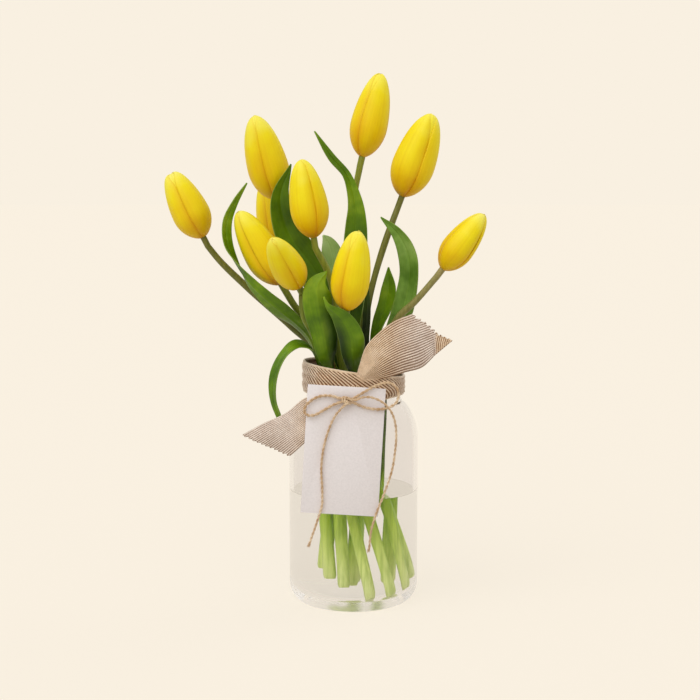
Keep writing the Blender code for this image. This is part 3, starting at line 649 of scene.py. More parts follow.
def quarter(centre_radius, centre_z, wide, tall, start, end, count):
    """(radius, height) points on part of an ellipse, its angles in degrees from straight out."""
    angles = np.radians(np.linspace(start, end, count))
    return [(centre_radius + wide * math.cos(a), centre_z + tall * math.sin(a)) for a in angles]


def inside_heel(radius, floor):
    """The rounded inside of the heel, from its floor up to a wall at a radius."""
    wide, tall = radius - INNER_HEEL_CENTRE, INNER_HEEL_TOP - floor
    return quarter(INNER_HEEL_CENTRE, INNER_HEEL_TOP, wide, tall, -90, 0, 14)


def add_turned(shape, outline, steps):
    """Spin an outline of (radius, height) points once round the Z axis."""
    corners = [shape.verts.new((radius, 0.0, height)) for radius, height in outline]
    edges = [shape.edges.new(pair) for pair in zip(corners, corners[1:])]
    bmesh.ops.spin(
        shape, geom=corners + edges, cent=(0, 0, 0), axis=(0, 0, 1), dvec=(0, 0, 0),
        angle=2 * math.pi, steps=steps, use_merge=True, use_duplicate=False,
    )
    bmesh.ops.remove_doubles(shape, verts=shape.verts, dist=1e-4)
    bmesh.ops.dissolve_degenerate(shape, edges=shape.edges, dist=1e-4)
    bmesh.ops.recalc_face_normals(shape, faces=shape.faces)


def jar_outline():
    heel = quarter(JAR_BASE_RADIUS, JAR_HEEL_TOP, JAR_RADIUS - JAR_BASE_RADIUS, JAR_HEEL_TOP, -90, 0, 14)
    shoulder = quarter(SHOULDER_CENTRE, JAR_SHOULDER_Z, JAR_RADIUS - SHOULDER_CENTRE, SHOULDER_TALL,
                       0, SHOULDER_END, 18)
    bead = quarter(JAR_NECK_RADIUS, JAR_BEAD_Z, JAR_BEAD_RADIUS - JAR_NECK_RADIUS, JAR_BEAD_HALF, -90, 90, 9)
    lip = 0.5 * (JAR_NECK_RADIUS - JAR_MOUTH_RADIUS)
    rim = quarter(JAR_MOUTH_RADIUS + lip, JAR_HEIGHT - JAR_RIM_ROUND, lip, JAR_RIM_ROUND, 0, 180, 13)
    throat = [(JAR_MOUTH_RADIUS, JAR_NECK_Z - JAR_WALL / 3)]
    inner_radius = JAR_RADIUS - JAR_WALL
    inner_shoulder = quarter(SHOULDER_CENTRE, JAR_SHOULDER_Z, inner_radius - SHOULDER_CENTRE,
                             SHOULDER_TALL - JAR_WALL, INNER_SHOULDER_END, 0, 18)
    inside = throat + inner_shoulder + inside_heel(inner_radius, JAR_FLOOR)[::-1] + [(0.0, JAR_FLOOR)]
    return JAR_FOOT + heel + shoulder + bead + rim + inside


shape = new_shape()
add_turned(shape, jar_outline(), TURN_STEPS)
print("jar faces:", len(shape.faces))
make_piece("jar_glass", shape, glass_finish, "jar")

# %% [markdown]
# ## The water
# Water fills the jar to a little under half its height. It clings to the glass, so its surface rises in
# a small rim at the wall, which catches the light. The water reaches just into the glass, because a thin
# layer of air between the two would shine like a mirror.

# %% Water
MENISCUS = 0.5
MENISCUS_WIDTH = 2.0
WET_OVERLAP = 0.12

wet_radius = JAR_RADIUS - JAR_WALL + WET_OVERLAP
wet_heel = inside_heel(wet_radius, JAR_FLOOR - WET_OVERLAP)
edge = [(wet_radius - MENISCUS_WIDTH * s, WATER_LEVEL + MENISCUS * (1 - s) ** 3)
        for s in np.linspace(0.0, 1.0, 10)]
shape = new_shape()
add_turned(shape, [(0.0, JAR_FLOOR - WET_OVERLAP)] + wet_heel + edge + [(0.0, WATER_LEVEL)], TURN_STEPS)
print("water faces:", len(shape.faces))
make_piece("jar_water", shape, water_finish, "water")

# %% [markdown]
# ## The flowers' places
# Each tulip is described by a few real measures: where its cut foot stands in the water, where it
# leaves the jar's mouth, how it bends above it, and where its bloom's base and tip are.

# %% Tulip table
MOUTH_Z = 182.0
TULIPS = [
    dict(name="tulip_01", foot=(-13, 2, 18), mouth=(-21, 12, MOUTH_Z),
         route=[(-47, 10, 207), (-80, 7, 237), (-102, 6, 259)],
         base=(-111.7, 5, 273.7), tip=(-135.7, 5, 321.7), width=28.5, spin=-58, open=0.16),
    dict(name="tulip_02", foot=(-5.5, -7, 13), mouth=(-12, 21, MOUTH_Z),
         route=[(-24, 27, 219), (-43, 27, 264)],
         base=(-58, 25, 302), tip=(-74, 12, 365), width=31.5, spin=19, open=0),
    dict(name="tulip_03", foot=(0, 22, 12), mouth=(7, 15, MOUTH_Z),
         route=[(7, 29, 219), (4, 38, 266), (1, 44, 305)],
         base=(6.6, 45, 334), tip=(21.3, 45, 398), width=29, spin=-25, open=0.05),
    dict(name="tulip_04", foot=(-1, 8, 12), mouth=(9, 6, MOUTH_Z),
         route=[(10, 8, 219), (15, 9.5, 241), (25.3, 12, 274.6)],
         base=(36.2, 15, 304), tip=(58.6, 10, 366), width=32.5, spin=37, open=0.05),
    dict(name="tulip_05", foot=(17, 17, 12), mouth=(24, 1, MOUTH_Z),
         route=[(27, 0, 200), (33.5, -1, 214.5), (45.5, -3, 226.5)],
         base=(65.5, -5, 250.5), tip=(96, -8, 292), width=24.5, spin=-54, open=0),
    dict(name="tulip_06", foot=(33, 5, 16), mouth=(-9, -5, MOUTH_Z),
         route=[(-13, -8, 216), (-18, -12, 247)],
         base=(-29, -15, 274), tip=(-38, -18, 332), width=28.5, spin=-50, open=0),
    dict(name="tulip_07", foot=(11, -24, 10.5), mouth=(-24, 0, MOUTH_Z),
         route=[(-36, -5, 213), (-45, -9, 226)],
         base=(-53, -12, 240), tip=(-84, -20, 294), width=28.5, spin=31, open=0),
    dict(name="tulip_08", foot=(25, -20, 11), mouth=(-21, -12, MOUTH_Z),
         route=[(-29, -18, 203), (-36.5, -23.5, 219)],
         base=(-39.7, -28, 239.3), tip=(-57.1, -64, 275.4), width=24.5, spin=18, open=0),
    dict(name="tulip_09", foot=(34, -9, 13), mouth=(-1, -23, MOUTH_Z),
         route=[(-4, -32, 204)],
         base=(-5.3, -44, 223), tip=(3.2, -50, 281), width=28.5, spin=15, open=0.05),
    dict(name="tulip_10", foot=(-15.5, 10, 24), mouth=(-1, 24, MOUTH_Z),
         route=[(-22, 36, 211), (-38, 49, 237)],
         base=(-58, 56, 262), tip=(-68, 60, 320), width=27, spin=-55, open=0),
]
print("tulips:", len(TULIPS))

# %% [markdown]
# ## Stem skin
# A tulip's stem is brown-green where it has stood in the light and paler green low down. Height therefore
# sets its colour, with painted light and shade in it: the part in the water is brightened as if light glowed
# through it, and the stretch from the water up into the neck is darkened as painted shade. A painted shade
# also darkens the stem's edges where it turns from view. Fine streaks run along it.

# %% Stem finish
def stem_finish(name, upper, lower_neck):
    made, tree, shader = new_finish(name, 0.45, 0.4)
    level = remap(tree, object_axis(tree, "Z"), 0.0, 0.3)
    # Painted light and shade by height: brightened in the water as if light glowed through, darkened as
    # painted shade from the water up into the neck
    colour = ramp(tree, level, [
        (0.03, light(230, 240, 166)), (0.12, light(218, 237, 132)), (0.20, light(194, 224, 84)),
        (0.27, light(156, 194, 38)), (0.33, light(78, 104, 14)), (0.50, light(60, 80, 18)),
        (0.60, lower_neck), (0.85, upper),
    ])
    streak = noise(tree, object_place(tree), (460.0, 460.0, 30.0), 4.0)
    colour = shade(tree, 0.65, colour, streak, [(0.36, (0.62, 0.70, 0.44)), (0.62, (1.12, 1.08, 1.16))])
    # Painted shade at the stem's edges, where it turns away from view
    turned = add_node(tree, "LayerWeight", {"Blend": 0.3}).outputs["Facing"]
    colour = shade(tree, 0.8, colour, turned, [(0.35, PLAIN), (0.9, (0.74, 0.84, 0.50))])
    set_skin(tree, shader, colour, streak, 0.4, 0.15)
    return made


STEM_FINISHES = {
    "olive": stem_finish("stem_olive", light(112, 112, 40), light(84, 92, 24)),
    "fresh": stem_finish("stem_fresh", light(136, 144, 44), light(104, 120, 24)),
    "straw": stem_finish("stem_straw", light(160, 146, 92), light(124, 132, 50)),
}
STEM_KINDS = {"tulip_01": "olive", "tulip_04": "olive", "tulip_05": "straw"}
print("stem finishes:", sorted(STEM_FINISHES))

# %% [markdown]
# ## Stems
# A stem is a long strand, slightly thicker at its cut foot. It isn't perfectly round or straight, so
# its thickness swells and shrinks a little along the way.

# %% Stems
STEM_RADIUS = 3.2
STEM_FOOT_RADIUS = 3.75
STEM_NECK_RADIUS = 2.55
STEM_TAPER = 60.0
STEM_NECK = 7.0
STEM_STEPS = 120
STEM_SWELL = 0.12
STEM_SWELL_RUN = 9.0
STEM_BLEND = 30.0
STEM_CUT_SHARE = 0.82
BLOOM_SEAT = 1.5


def stem_rows(tulip, count):
    """The stem's centres, from its cut foot up through the mouth and just into its bloom."""
    base, tip = Vector(tulip["base"]), Vector(tulip["tip"])
    axis = (tip - base).normalized()
    foot, mouth = Vector(tulip["foot"]), Vector(tulip["mouth"])
    straight = [foot.lerp(mouth, share) for share in (0.0, 0.33, 0.66, 1.0)]
    route = straight + [Vector(place) for place in tulip["route"]] + [base - axis * STEM_NECK]
    return np.vstack((smooth_rows(route, count), base + axis * BLOOM_SEAT))


for number, tulip in enumerate(TULIPS):
    centres = stem_rows(tulip, STEM_STEPS)
    radii = np.interp(
        centres[:, 2],
        (WATER_LEVEL - STEM_BLEND, WATER_LEVEL + STEM_BLEND, MOUTH_Z, MOUTH_Z + STEM_TAPER),
        (STEM_FOOT_RADIUS, STEM_RADIUS, STEM_RADIUS, STEM_NECK_RADIUS),
    )
    radii = radii + STEM_SWELL * np.sin(centres[:, 2] / STEM_SWELL_RUN + number) - STEM_SWELL
    radii[0] *= STEM_CUT_SHARE
    shape = new_shape()
    add_strand(shape, centres, radii, 24)
    skin = STEM_FINISHES[STEM_KINDS.get(tulip["name"], "fresh")]
    make_piece(tulip["name"] + "_stalk", shape, skin, tulip["name"] + "_stem")
print("stems:", len(TULIPS))

# %% [markdown]
# ## Petal skin
# A closed tulip is pale lemon at its tips and deepens to orange-gold at its base. Part of that is painted:
# highlight at the palest, whitish tips, shade at the deepest base, and an orange painted shade along the
# grooves where petals overlap. Fine veins run along each petal and fan out with it. The petal's own UV map
# carries both: one direction runs from base to tip and the other from edge to edge.

# %% Petal finish
def blade_parts(tree, cloud, veins):
    """What a petal or leaf is coloured by: the shares along and across it, the distance from its middle
    line, slow clouds and fine veins. cloud and veins are the measures of their noise."""
    coordinates = add_node(tree, "TexCoord").outputs
    parts = add_node(tree, "SeparateXYZ", {0: coordinates["UV"]}).outputs
    off_middle = calculate(tree, "ABSOLUTE", calculate(tree, "SUBTRACT", parts["Y"], 0.5))
    clouds = noise(tree, coordinates["Object"], *cloud)
    return parts["X"], parts["Y"], off_middle, clouds, noise(tree, coordinates["UV"], veins, 3.0)


petal_skin, tree, shader = new_finish("yellow_petal", 0.48, 0.24)
along, across, off_middle, clouds, veins = blade_parts(tree, (55.0, 3.0), (1.2, 46.0, 1.0))
drift = remap(tree, clouds, 0.3, 0.7, -0.11, 0.11)
# Orange-gold base to lemon tip is the petal's own colour; the whitish palest tips are partly painted
# highlight and the deepest base partly painted shade
colour = ramp(tree, calculate(tree, "ADD", along, drift), [
    (0.02, light(204, 160, 14)), (0.10, light(234, 180, 0)), (0.34, light(245, 210, 1)),
    (0.66, light(251, 231, 16)), (0.84, light(252, 240, 74)), (1.0, light(250, 241, 110)),
])
colour = shade(tree, 0.8, colour, veins, [(0.3, (0.93, 0.90, 0.84)), (0.65, PLAIN)])
colour = shade(tree, 0.5, colour, off_middle, [(0.0, (0.92, 0.87, 0.70)), (0.05, PLAIN)])
# Painted shade: a deeper orange along both edges of each petal, in the groove where the petals overlap,
# fading towards the tip
colour = shade(tree, remap(tree, along, 0.1, 0.95, 1.0, 0.35), colour, across, [
    (0.06, (0.82, 0.56, 0.05)), (0.11, (0.88, 0.70, 0.22)), (0.20, (0.96, 0.88, 0.65)), (0.34, PLAIN),
    (0.80, PLAIN), (0.92, (0.96, 0.88, 0.62)), (0.99, (0.88, 0.72, 0.28)),
])
set_skin(tree, shader, colour, veins, 0.5, 0.12)
print("finish:", petal_skin.name)

# %% [markdown]
# ## Blooms
# A tulip has six petals in two layers of three. In a closed bud the outer three wrap round the inner
# three, which show only as a sliver where two outer petals part towards the tip. Each petal here is a
# grid bent by one formula: the bud's profile sets how far it stands from the axis, and its half-angle
# sets how far it wraps. One edge rolls in over the next petal and the other is tucked under, so a soft
# groove runs between them.

# %% Petal shape
PETALS = 6
PETAL_THICKNESS = 0.55
PETAL_COLUMNS = 56
PETAL_ROWS = 28
OUTER_HALF_ANGLE = math.radians(65)
INNER_HALF_ANGLE = math.radians(64)
PETAL_TAPER = 0.75
OPEN_TAPER_POWER = 12.0
CLOSED_TAPER_POWER = 30.0
PETAL_SWAY = 0.015
PETAL_DENT = 0.008
PETAL_TUCK = 0.15
PETAL_ROLL = 0.05
INNER_SHARE = 0.9
INNER_REACH = 0.985
OUTER_REACH = (0.98, 1.0)
INNER_FLARE = 0.6
RIB_DEPTH = 0.012
RIB_WIDTH = 0.12
WIDEST = 0.37
BASE_ROUNDING = 0.62
TIP_ROUNDING = 1.7


def bud_profile(along):
    """How wide a closed bud is, as a share of its widest, from its base (0) to its tip (1)."""
    below = (1 - np.clip(1 - along / WIDEST, 0, 1) ** 2).clip(0) ** BASE_ROUNDING
    above = (1 - np.clip((along - WIDEST) / (1 - WIDEST), 0, 1) ** TIP_ROUNDING).clip(0) ** 0.5
    return np.where(along < WIDEST, below, above)


def bud_frame(tulip):
    """The turn and place that take a bud drawn upright at the origin to its place on its stem."""
    base, tip = Vector(tulip["base"]), Vector(tulip["tip"])
    turn = (tip - base).to_track_quat("Z", "Y").to_matrix().to_4x4()
    return Matrix.Translation(base) @ turn @ Matrix.Rotation(math.radians(tulip["spin"]), 4, "Z")


def add_petal(shape, tulip, turn, outer, dice):
    """Add one petal, drawn in the upright bud's own frame."""
    length = (Vector(tulip["tip"]) - Vector(tulip["base"])).length
    phase = dice.uniform(0, 2 * math.pi)
    reach = dice.uniform(*OUTER_REACH) if outer else INNER_REACH
    half_angle, size, flare, taper = INNER_HALF_ANGLE, INNER_SHARE, tulip["open"] * INNER_FLARE, 0.0
    if outer:
        half_angle, size, flare, taper = OUTER_HALF_ANGLE, 1.0, tulip["open"], PETAL_TAPER
    taper_power = OPEN_TAPER_POWER if tulip["open"] else CLOSED_TAPER_POWER

    def wrap(along, across):
        along, side = (1 - np.cos(math.pi * along)) / 2, 2 * across - 1
        wide = half_angle * (1 - taper * along ** taper_power)
        wide = wide * (1 + PETAL_SWAY * np.sin(9 * along + phase))
        share = 1 - PETAL_TUCK * np.clip(-side, 0, 1) ** 3 - PETAL_ROLL * np.clip(side, 0, 1) ** 6
        share = share - RIB_DEPTH * np.exp(-((side / RIB_WIDTH) ** 2)) * (1 - along)
        share = share + PETAL_DENT * np.sin(5 * side + 6 * along + phase)
        radius = bud_profile(along) * share * size + flare * along ** 8 * (1 - 0.5 * side ** 2)
        radius, angle = radius * tulip["width"] / 2, turn - side * wide
        return polar(radius, angle, length * reach * along)

    bend_grid(shape, PETAL_COLUMNS, PETAL_ROWS, wrap)


for number, tulip in enumerate(TULIPS):
    dice = random.Random(100 + number)
    shape = new_shape()
    for petal in range(PETALS):
        add_petal(shape, tulip, petal * 2 * math.pi / PETALS, petal % 2 == 0, dice)
    bmesh.ops.transform(shape, matrix=bud_frame(tulip), verts=shape.verts)
    bmesh.ops.recalc_face_normals(shape, faces=shape.faces)
    bloom = make_piece(tulip["name"] + "_petals", shape, petal_skin, tulip["name"] + "_bloom")
    thicken(bloom, PETAL_THICKNESS, -1.0)
print("petals on each bloom:", PETALS, "grid:", PETAL_COLUMNS, "by", PETAL_ROWS)

# %% [markdown]
# ## Leaf skin
# Tulip leaves are smooth blades with parallel veins and a thin pale margin, in greens that vary at
# random. Shade is painted into them: darker greens at each leaf's foot, where it stands between the
# others, on the margin that lies in the hollow of the two front leaves, and all over the leaf that
# stands in shade at the back. The waxy leaf that faces the light gets paler greens as painted sheen.
# The leaf's UV map again runs along and across the blade, so veins follow every bend.

# %% Leaf finishes
MARGIN_COLOUR = light(128, 156, 56)
# Painted shade across a leaf, towards its left or its right margin, where it lies in a hollow
HOLLOW_SHADES = {
    "left": [(0.38, PLAIN), (0.84, (0.14, 0.20, 0.08))],
    "right": [(0.16, (0.14, 0.20, 0.08)), (0.62, PLAIN)],
}


def leaf_finish(name, deep, middle, pale, shaded=None, dark_to=0.10):
    """A leaf's skin in three greens. shaded names the margin, left or right, that lies in a hollow and gets
    painted shade, and dark_to is the share of its length that stands in the dark between the others and gets
    painted shade."""
    made, tree, shader = new_finish(name, 0.38, 0.28)
    along, across, off_middle, clouds, veins = blade_parts(tree, (38.0, 3.0, 0.6), (1.0, 34.0, 1.0))
    colour = ramp(tree, clouds, [(0.30, deep), (0.52, middle), (0.72, pale)])
    # Painted shade at the leaf's foot, where it stands between the others
    colour = shade(tree, 0.85, colour, along, [(dark_to, (0.28, 0.34, 0.22)), (0.48, PLAIN)])
    colour = shade(tree, 0.8, colour, veins, [(0.32, (0.80, 0.84, 0.78)), (0.66, (1.12, 1.10, 1.12))])
    colour = shade(tree, 0.6, colour, off_middle, [(0.0, (1.35, 1.28, 1.3)), (0.05, PLAIN)])
    # Painted shade on the margin that lies in a hollow, over the lower part of the leaf
    if shaded:
        low = remap(tree, along, 0.60, 0.88, 1.0, 0.0)
        colour = shade(tree, low, colour, across, HOLLOW_SHADES[shaded])
    margin = remap(tree, off_middle, 0.475, 0.5)
    set_skin(tree, shader, blend(tree, margin, colour, MARGIN_COLOUR), veins, 0.6, 0.2)
    return made


FRESH_GREENS = (light(66, 102, 0), light(102, 140, 0), light(146, 176, 36))
LEAF_FINISHES = {
    # The darkest finish is painted shade: near-black greens for a leaf that stands in shade at the back
    "painted_shade": leaf_finish("leaf_painted_shade", light(20, 34, 0), light(32, 50, 0), light(48, 70, 0)),
    "dark": leaf_finish("leaf_dark", light(58, 90, 0), light(84, 120, 0), light(108, 142, 8)),
    "fresh": leaf_finish("leaf_fresh", *FRESH_GREENS),
    # The tall leaf's finish paints shade further up from its foot
    "fresh_tall_shaded": leaf_finish("leaf_fresh_tall_shaded", *FRESH_GREENS, dark_to=0.36),
    "fresh_shaded_left": leaf_finish("leaf_fresh_shaded_left", *FRESH_GREENS, shaded="left"),
    "fresh_shaded_right": leaf_finish("leaf_fresh_shaded_right", *FRESH_GREENS, shaded="right"),
    # A paler copy of the greens: partly the leaf's waxy bloom, partly painted sheen where it faces the light
    "waxy_sheen": leaf_finish("leaf_waxy_sheen", light(80, 120, 24), light(124, 164, 66), light(164, 196, 108)),
    "pale": leaf_finish("leaf_pale", light(156, 192, 104), light(180, 212, 132), light(204, 230, 164)),
}
print("leaf finishes:", sorted(LEAF_FINISHES))

# %% [markdown]
# ## Leaves
# Each leaf clasps its stem inside the jar's neck, opens as it leaves the mouth and bends its own way. A
# few rows along its middle line give its place, its width, how many degrees its hollow curves, and
# which way the hollow looks. A smooth curve joins them, and a grid is laid across it.

# %% Leaf table
LEAF_THICKNESS = 0.7
LEAF_ROOT_ARC = math.radians(100)
LEAF_ROOT_Z = 162.0
LEAF_ROOT_RUN = 9.0
GAP = 0.3
LEAVES = [
    dict(name="leaf_left_long", stem=6, side=200, skin="fresh", rows=[
        (-34.6, -8.5, 202.8, 10, 50, 0.5, 0.8, 0.4), (-41.5, -12.5, 210.4, 12.5, 50, 0.5, 0.8, 0.4),
        (-53, -18.5, 220.5, 15, 45, 0.3, 0.85, 0.4), (-64.6, -22.5, 230.9, 13, 45, 0.3, 0.8, 0.5),
        (-75.5, -23, 242, 11, 45, 0.5, 0.6, 0.5), (-84.2, -22, 254.1, 10, 50, 0.8, 0.1, 0.5),
        (-91.5, -20, 268.6, 10, 50, 0.8, -0.5, 0.3), (-92.3, -17, 286.7, 9, 45, 0.7, -0.7, 0),
        (-86.9, -14, 299.7, 6, 30, 0.7, -0.7, -0.2), (-77.9, -11, 314.2, 1, 20, 0.6, -0.7, -0.3)]),
    dict(name="leaf_left_drooping", stem=7, side=200, skin="fresh", rows=[
        (-26, -14.5, 182, 7, 80, 0.9, 0.4, 0.1),
        (-31, -19, 192.5, 9, 50, 0.5, 0, 0.8), (-41, -24.5, 197, 10, 40, 0.1, -0.5, 0.9),
        (-49.2, -30.5, 191.5, 10, 40, -0.4, -0.5, 0.7), (-55.4, -34, 181.5, 9.5, 35, -0.7, -0.6, 0.3),
        (-58.2, -35.5, 171.4, 9, 30, -0.8, -0.6, 0),
        (-57.8, -37, 156.1, 6.5, 20, -0.7, -0.7, -0.1), (-54.3, -36.5, 146, 5.5, 15, -0.6, -0.7, -0.2),
        (-49.5, -36, 134, 1, 10, -0.6, -0.7, -0.2)]),
    dict(name="leaf_dark_broad", stem=5, side=90, skin="dark", rows=[
        (-20, 3, 207, 11, 60, 0.2, -1, 0), (-22.5, 5, 227.3, 15, 55, 0.2, -1, 0),
        (-26.6, 7, 244, 22, 50, 0.2, -1, 0), (-34.5, 7, 256.5, 24, 50, 0.2, -1, 0),
        (-44.6, 7, 270, 23, 45, 0.2, -1, 0), (-51.6, 7, 286, 20, 45, 0.2, -1, 0),
        (-54.5, 5.5, 302.5, 14.5, 40, 0.2, -1, 0), (-46.2, 3, 328.2, 1, 20, 0.2, -1, 0)]),
    dict(name="leaf_tall", stem=2, side=180, skin="fresh_tall_shaded", rows=[
        (-1.5, 15.5, 189, 9, 70, 0.8, -0.6, 0), (-1.5, 17.5, 207.2, 13, 60, 0.4, -0.9, 0),
        (0.5, 21, 233.5, 17.5, 55, 0.1, -1, 0), (1.2, 24, 263.8, 19, 50, 0.1, -1, 0),
        (1.8, 25, 284, 16.5, 50, 0.2, -1, 0), (1.6, 25, 296, 13, 50, 0.3, -1, 0),
        (-0.8, 25, 308.4, 9.8, 50, 0.4, -1, 0), (-5.4, 25, 320.7, 6.8, 45, 0.4, -1, -0.1),
        (-15.9, 23.5, 332.9, 6.1, 35, 0.3, -1, -0.1), (-29.3, 21, 353, 1, 20, 0.3, -1, -0.2)]),
    dict(name="leaf_pale_back", stem=9, side=60, skin="pale", rows=[
        (0, 29.5, 188, 8, 70, -0.5, -0.9, 0), (-7.5, 35, 209.6, 9, 50, 0, -1, 0),
        (-14, 39, 236.2, 13, 45, 0.1, -1, 0), (-16, 42, 254, 17, 45, 0.1, -1, 0),
        (-18, 42, 265, 14, 40, 0.1, -1, 0), (-21, 42, 271.5, 7, 30, 0.1, -1, 0),
        (-23.5, 42, 274.5, 1, 20, 0.1, -1, 0)]),
    dict(name="leaf_right_arching", stem=4, side=110, skin="waxy_sheen", rows=[
        (24, 8, 190, 9, 70, 0.1, -1, 0), (30.5, 8.5, 205, 13, 60, 0, -1, 0),
        (37.4, 7.5, 220.6, 16.5, 55, -0.2, -1, 0), (39.9, 6, 231.6, 16.5, 55, -0.3, -1, 0),
        (41.9, 3, 247.4, 15.5, 50, -0.4, -0.9, 0.1), (40.8, 0, 259.5, 15, 45, -0.4, -0.9, 0.1),
        (36.7, -3, 270.4, 12, 40, -0.3, -0.9, 0.1), (32, -5, 277.6, 9, 35, -0.3, -0.9, 0),
        (20, -8, 289.3, 1, 20, -0.2, -0.9, -0.1)]),
    dict(name="leaf_right_small", stem=3, side=354, skin="fresh", rows=[
        (19.2, 13, 209, 10, 60, -0.5, -0.9, 0), (24.1, 13.5, 222.5, 12, 50, -0.3, -1, 0),
        (26.6, 12.5, 234.7, 11.5, 40, -0.2, -1, 0), (26.3, 11, 251.5, 1, 20, -0.2, -1, 0)]),
    dict(name="leaf_front_broad", stem=7, side=320, skin="fresh_shaded_right", curl=2.5, rows=[
        (-19.5, -26.5, 192, 16.5, 60, -0.1, 1, 0.1), (-21.9, -33.5, 208.8, 21, 60, 0, 1, 0.2),
        (-24.7, -38, 220.9, 22.4, 60, 0, 1, 0.1), (-26.2, -41, 231.5, 22, 55, 0, 1, 0.1),
        (-26.6, -42, 238.5, 18.5, 50, 0, 1, 0), (-24.2, -42, 245, 11, 40, 0, 1, 0),
        (-19.1, -42, 249, 1, 30, 0, 1, 0)]),
    dict(name="leaf_front_curled", stem=8, side=285, skin="fresh_shaded_left", curl=4, rows=[
        (-0.8, -36, 191.5, 17, 60, 0, 1, 0.1), (-1.5, -42, 201.9, 19, 60, 0, 1, 0.3),
        (-5.3, -46.5, 212.3, 16.7, 55, 0, 1, 0.3), (-10.5, -50.5, 220.1, 12, 50, 0.1, 0.9, 0.3),
        (-16.4, -53, 225.4, 6, 40, 0.2, 0.9, 0.3), (-21.3, -54.5, 229.5, 1, 30, 0.2, 0.9, 0.3)]),
    dict(name="leaf_narrow_back", stem=3, side=243, skin="painted_shade", rows=[
        (7.6, 0.9, 184, 7, 70, 0.2, 1, 0), (8.6, 0.5, 196, 6, 60, 0.1, 1, 0),
        (9.5, 0.8, 209, 6, 50, 0, 1, 0), (10.2, 1, 223.8, 5, 40, 0, 1, 0),
        (10.9, 1, 237, 1, 20, 0, 1, 0)]),
]
print("leaves:", len(LEAVES))

# %% [markdown]
# The blade's cross-section is an arc with a shallow groove along the midrib, and its margins wave
# slightly. Where the table says so, the very tip curls back on itself.

# %% Leaf blades
LEAF_STEPS = 90
LEAF_ROWS = 22
LEAF_GROOVE = 0.5
MARGIN_WAVE = 0.35
GROOVE_WIDTH = 0.14
FULL_WIDTH = 8.0
WAVE_FROM = 0.2
LEAST_CUP = 0.05
LEAST_WIDTH = 0.15
CURL_FROM = 0.93
CURL_LEAN = 0.3


def leaf_rows(leaf):
    """The leaf's rows, from the stem that it clasps to its tip."""
    stem = stem_rows(TULIPS[leaf["stem"]], STEM_STEPS)
    side = math.radians(leaf["side"])
    out = np.array((math.cos(side), math.sin(side), 0.0))
    clasp = STEM_RADIUS + 1.5 * GAP + LEAF_THICKNESS / 2
    rows = []
    for height in (LEAF_ROOT_Z, LEAF_ROOT_Z + LEAF_ROOT_RUN):
        centre = np.array([np.interp(height, stem[:, 2], column) for column in stem[:, :3].T])
        rows.append((*(centre + out * clasp), clasp * LEAF_ROOT_ARC, math.degrees(LEAF_ROOT_ARC), *(-out)))
    return smooth_rows(rows + leaf["rows"], LEAF_STEPS + 1)


def add_leaf(shape, leaf, dice):
    rows = leaf_rows(leaf)
    runs = unit(np.gradient(rows[:, :3], axis=0))
    faces = unit(rows[:, 5:8] - runs * np.sum(rows[:, 5:8] * runs, axis=1)[:, None])
    besides = np.cross(runs, faces)
    wave_start = dice.uniform(0, 6)

    def cup_blade(along, across):
        steps = np.rint(along * LEAF_STEPS).astype(int)
        along, side = steps / LEAF_STEPS, 2 * across - 1
        cup = np.maximum(np.radians(rows[steps, 4]), LEAST_CUP)
        width = np.maximum(rows[steps, 3], LEAST_WIDTH)
        bend, fullness = width / cup, np.minimum(width / FULL_WIDTH, 1)
        angle = side * cup / 2
        groove = LEAF_GROOVE * np.exp(-((side / GROOVE_WIDTH) ** 2)) * fullness
        wave = MARGIN_WAVE * np.abs(side) ** 3 * np.sin(18 * along + 2 * side + wave_start)
        depth = bend * (1 - np.cos(angle)) - groove + wave * fullness * (along > WAVE_FROM)
        curl = leaf.get("curl", 0.0) * np.clip((along - CURL_FROM) / (1 - CURL_FROM), 0, 1) ** 2
        places = (rows[steps, :3] + besides[steps] * (bend * np.sin(angle))[:, None]
                  + faces[steps] * (depth + curl * CURL_LEAN)[:, None])
        places[:, 2] += curl
        return places

    bend_grid(shape, LEAF_STEPS, LEAF_ROWS, cup_blade)


for number, leaf in enumerate(LEAVES):
    shape = new_shape()
    add_leaf(shape, leaf, random.Random(200 + number))
    skin = LEAF_FINISHES[leaf["skin"]]
    blade = make_piece(leaf["name"].replace("leaf", "blade"), shape, skin, leaf["name"])
    thicken(blade, LEAF_THICKNESS, 0.0)
print("leaf grid:", LEAF_STEPS, "by", LEAF_ROWS)

# %% [markdown]
# ## Burlap
# The ribbon is jute webbing: thick cords run along it, held together by a thin cross weave. The cords
# are real strands here, so they fan out and overlap as on the real ribbon. The weave between them is a
# thin sheet with a fine bump.

# %% Burlap finishes
burlap_weave, tree, shader = new_finish("burlap_weave", 0.95, 0.1)
grain = noise(tree, object_place(tree), 1500.0, 4.0)
# The second pair of each finish is paler: painted light on the ribbon far out to the sides
lit_far_tones = (light(142, 116, 98), light(186, 162, 144))
colour = two_tones(tree, grain, light(112, 72, 44), light(164, 122, 86), lit_far_tones)
set_skin(tree, shader, colour, grain, 0.8, 0.3)
burlap_cord = jute_finish("burlap_cord", 2200.0, light(224, 196, 164), light(250, 228, 202),
                          (light(232, 216, 206), light(250, 238, 230)))
print("burlap finishes:", burlap_weave.name, burlap_cord.name)

# %% [markdown]
# ## The ribbon
# The ribbon goes round the neck on a slant, so its cords run down to the right across the band. It is
# knotted in front, behind the card, and its two cut ends stand out to the sides. The ends were cut with
# a zigzag edge.

